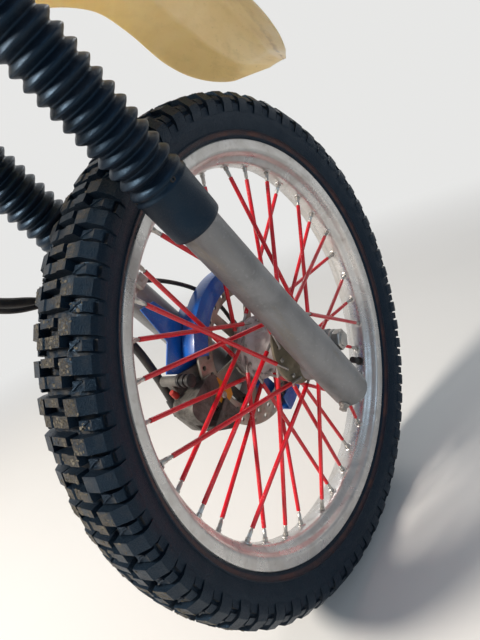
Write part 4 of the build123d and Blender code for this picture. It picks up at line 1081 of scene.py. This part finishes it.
class FRONT_OT_pad_fittings(bpy.types.Operator):
    """Add the brake pad's painted plate and the pin that holds it"""

    bl_idname = "front_end.pad_fittings"
    bl_label = "Pad fittings"

    def execute(self, context):
        # Ahead of the leg's axis and up the leg, between two values of y
        outline = mm(0, 0, (-42.5, 47), (-42, 16), (-48, 9), (-64, 12), (-69, 20), (-67, 40), (-62, 49))
        plate = bmesh.new()
        loops = [[plate.verts.new(leg_point(*spot, left)) for spot in outline] for left in (0.0371, 0.0379)]
        plate.faces.new(loops[0])
        plate.faces.new(loops[1][::-1])
        skin(plate, *loops)
        bmesh.ops.bevel(plate, geom=list(plate.edges), offset=0.0003, segments=1, affect="EDGES")
        add_piece("pad_plate", settle(plate), "fork", "yellow_paint")
        pin = bmesh.new()
        head = (
            *mm(0, 0, (0.1, 0), (3, 0), (3, 3), (4.6, 3.2), (4.6, 4.6)),
            *mm(0, 0, (3.8, 5.4), (2.2, 5.4), (1.8, 4.4), (0.1, 4.4)),
        )
        lathe(pin, leg_point(-0.058, 0.0265, 0.0385), -AXLE_WAY, FORK_UP, head, 24)
        add_piece("pad_pin", settle(pin), "fork", "machined_steel")
        return {"FINISHED"}


class FRONT_OT_castings(bpy.types.Operator):
    """Ease and finish the fork's, hub's and brake's own shapes"""

    bl_idname = "front_end.castings"
    bl_label = "Castings and fittings"

    def execute(self, context):
        # Columns: body, finish, and by node the width of the eased edges in tenths of a millimetre
        groups = (
            ("fork", "cast_alloy", dict(slider_left=12, slider_right=12, lower_clamp=15, upper_clamp=15)),
            ("fork", "cast_alloy", dict(handlebar_clamps=8)),
            ("fork", "stanchion_chrome", dict(stanchion_left=0, stanchion_right=0)),
            ("fork", "cap_alloy", dict(fork_cap_left=8, fork_cap_right=8)),
            ("fork", "machined_steel", dict(steering_stem=6, stem_nut=6, axle=6, axle_nut=7, axle_spacer=5)),
            ("fork", "machined_steel", dict(bracket_bolts=4, mudguard_bolts=5, drain_bolts=5)),
            ("fork", "machined_steel", dict(cord_guide=4, cord_holder=3, cable_clamp=4)),
            ("fork", "drive_metal", dict(speedometer_drive=6)),
            ("fork", "brake_alloy", dict(brake_caliper=8, caliper_bracket=6)),
            ("fork", "pad_material", dict(brake_pads=3)),
            ("fork", "guard_blue", dict(disc_guard=6, caliper_guard=6)),
            ("fork", "bleed_cap_red", dict(bleed_screw=3)),
            ("fork", "black_rubber", dict(hose_union=4, pin_boots=6)),
            ("wheel", "hub_alloy", dict(hub=7)),
            ("wheel", "disc_steel", dict(brake_disc=3)),
            ("wheel", "machined_steel", dict(disc_bolts=4)),
            ("wheel", "black_rubber", dict(valve_stem=4)),
        )
        for body, slot, widths in groups:
            for node, tenths in widths.items():
                dress(node, body, slot, tenths / 10000)
        return {"FINISHED"}


class FRONT_OT_stage(bpy.types.Operator):
    """Add the floor, the lights and the camera"""

    bl_idname = "front_end.stage"
    bl_label = "Stage"

    def execute(self, context):
        scene = context.scene
        floor_height = cad_box[0][2] - 0.0005
        mesh = bmesh.new()
        # The paper runs away from the camera, then bends up into a wall
        bend = 1.2
        back = 3.2
        outline = [(-9.0, 0.0), (back, 0.0)]
        outline += [(back + bend * sin(t * pi / 16), bend - bend * cos(t * pi / 16)) for t in range(1, 9)]
        outline += [(back + bend, 7.0)]
        toward = Vector((0.707, 0.707, 0))
        aside = Vector((0.707, -0.707, 0))
        lines = []
        for along, height in outline:
            middle = WHEEL_CENTRE + toward * along
            middle.z = floor_height + height
            lines.append([mesh.verts.new(middle + aside * reach) for reach in (-9, 9)])
        for low, high in zip(lines, lines[1:]):
            mesh.faces.new((low[0], low[1], high[1], high[0]))
        studio = show("studio", settle(mesh, 180))
        studio.data.materials.append(FINISHES["studio_paper"])

        # Columns: name, place from the wheel's centre, power, size and colour
        lamps = (
            ("key", (-2.0, 0.9, 1.7), 92.0, 0.55, (1.0, 0.93, 0.84)),
            ("fill", (-0.8, -2.6, 1.8), 13.0, 2.4, (0.58, 0.79, 1.0)),
            ("rim", (2.2, 0.6, 1.9), 16.0, 1.2, (1.0, 0.98, 0.95)),
        )
        for name, place, power, size, tint in lamps:
            lamp = bpy.data.lights.new(name, "AREA")
            lamp.shape = "DISK"
            lamp.size = size
            lamp.energy = power
            lamp.color = tint
            holder = show(name, lamp)
            holder.location = WHEEL_CENTRE + Vector(place)
            aim = WHEEL_CENTRE + Vector((-0.05, 0, 0.05)) - holder.location
            holder.rotation_euler = aim.to_track_quat("-Z", "Y").to_euler()
        world = bpy.data.worlds.new("studio_light")
        world.use_nodes = True
        tree = world.node_tree
        sky = tree.nodes["Background"]
        feed(tree, sky, {"Color": (0.80, 0.86, 0.95, 1.0), "Strength": 0.27})
        beyond = add_node(tree, "ShaderNodeBackground", None, {"Color": BACKDROP})
        seen = add_node(tree, "ShaderNodeLightPath", output="Is Camera Ray")
        blend(tree, "World Output", seen, sky.outputs[0], beyond)
        scene.world = world

        # The lens and the middle of the view were fitted in a picture this many pixels wide and high
        wide, high = 480, 640
        focal = 486.1
        middle_x, middle_y = 206.57, 314.32
        camera_data = bpy.data.cameras.new("camera")
        camera_data.sensor_fit = "VERTICAL"
        camera_data.sensor_height = 36.0
        camera_data.lens = focal / high * 36
        camera_data.shift_x = (wide / 2 - middle_x) / high
        camera_data.shift_y = (middle_y - high / 2) / high
        camera_data.clip_start = 0.01
        camera = show("camera", camera_data)
        right = Vector((0.5722, -0.7197, -0.3933)).normalized()
        ahead = Vector((0.6833, 0.6835, -0.2567)).normalized()
        up = right.cross(ahead).normalized()
        turn = Matrix((right, up, -ahead)).transposed().to_4x4()
        camera.matrix_world = Matrix.Translation(WHEEL_CENTRE + Vector((-0.4983, -0.4018, 0.2503))) @ turn
        scene.camera = camera
        scene.view_settings.view_transform = "Standard"
        return {"FINISHED"}


class FRONT_PT_panel(bpy.types.Panel):
    """Lists the steps and their sizes"""

    bl_idname = "FRONT_PT_panel"
    bl_label = "Front End"
    bl_space_type = "VIEW_3D"
    bl_region_type = "UI"
    bl_category = "Front End"

    def draw(self, context):
        column = self.layout.column()
        for settings in GROUPS:
            group = getattr(context.scene, settings)
            for name in group.__annotations__:
                column.prop(group, name)
        for step in STEPS:
            column.operator(step.bl_idname)


GROUPS = {
    "front_tyre": TyreSizes,
    "front_wheel": WheelSizes,
    "front_gaiter": GaiterSizes,
    "front_cords": CordSizes,
    "front_colours": FinishColours,
}
STEPS = (
    FRONT_OT_finishes,
    FRONT_OT_stage,
    FRONT_OT_cords,
    FRONT_OT_tyre,
    FRONT_OT_rim,
    FRONT_OT_spokes,
    FRONT_OT_gaiters,
    FRONT_OT_mudguard,
    FRONT_OT_castings,
    FRONT_OT_pad_fittings,
)


def register():
    """Registers the classes and hangs the settings on the scene."""
    for group in (*GROUPS.values(), *STEPS, FRONT_PT_panel):
        bpy.utils.register_class(group)
    for name, group in GROUPS.items():
        setattr(bpy.types.Scene, name, bpy.props.PointerProperty(type=group))


def unregister():
    """Takes the settings and the classes away again."""
    for name in GROUPS:
        delattr(bpy.types.Scene, name)
    for group in (FRONT_PT_panel, *reversed(STEPS), *reversed(GROUPS.values())):
        bpy.utils.unregister_class(group)


def main():
    """Registers the steps and runs each of them to make every piece."""
    register()
    for step in STEPS:
        group, name = step.bl_idname.split(".")
        getattr(getattr(bpy.ops, group), name)()


if __name__ == "__main__":
    main()
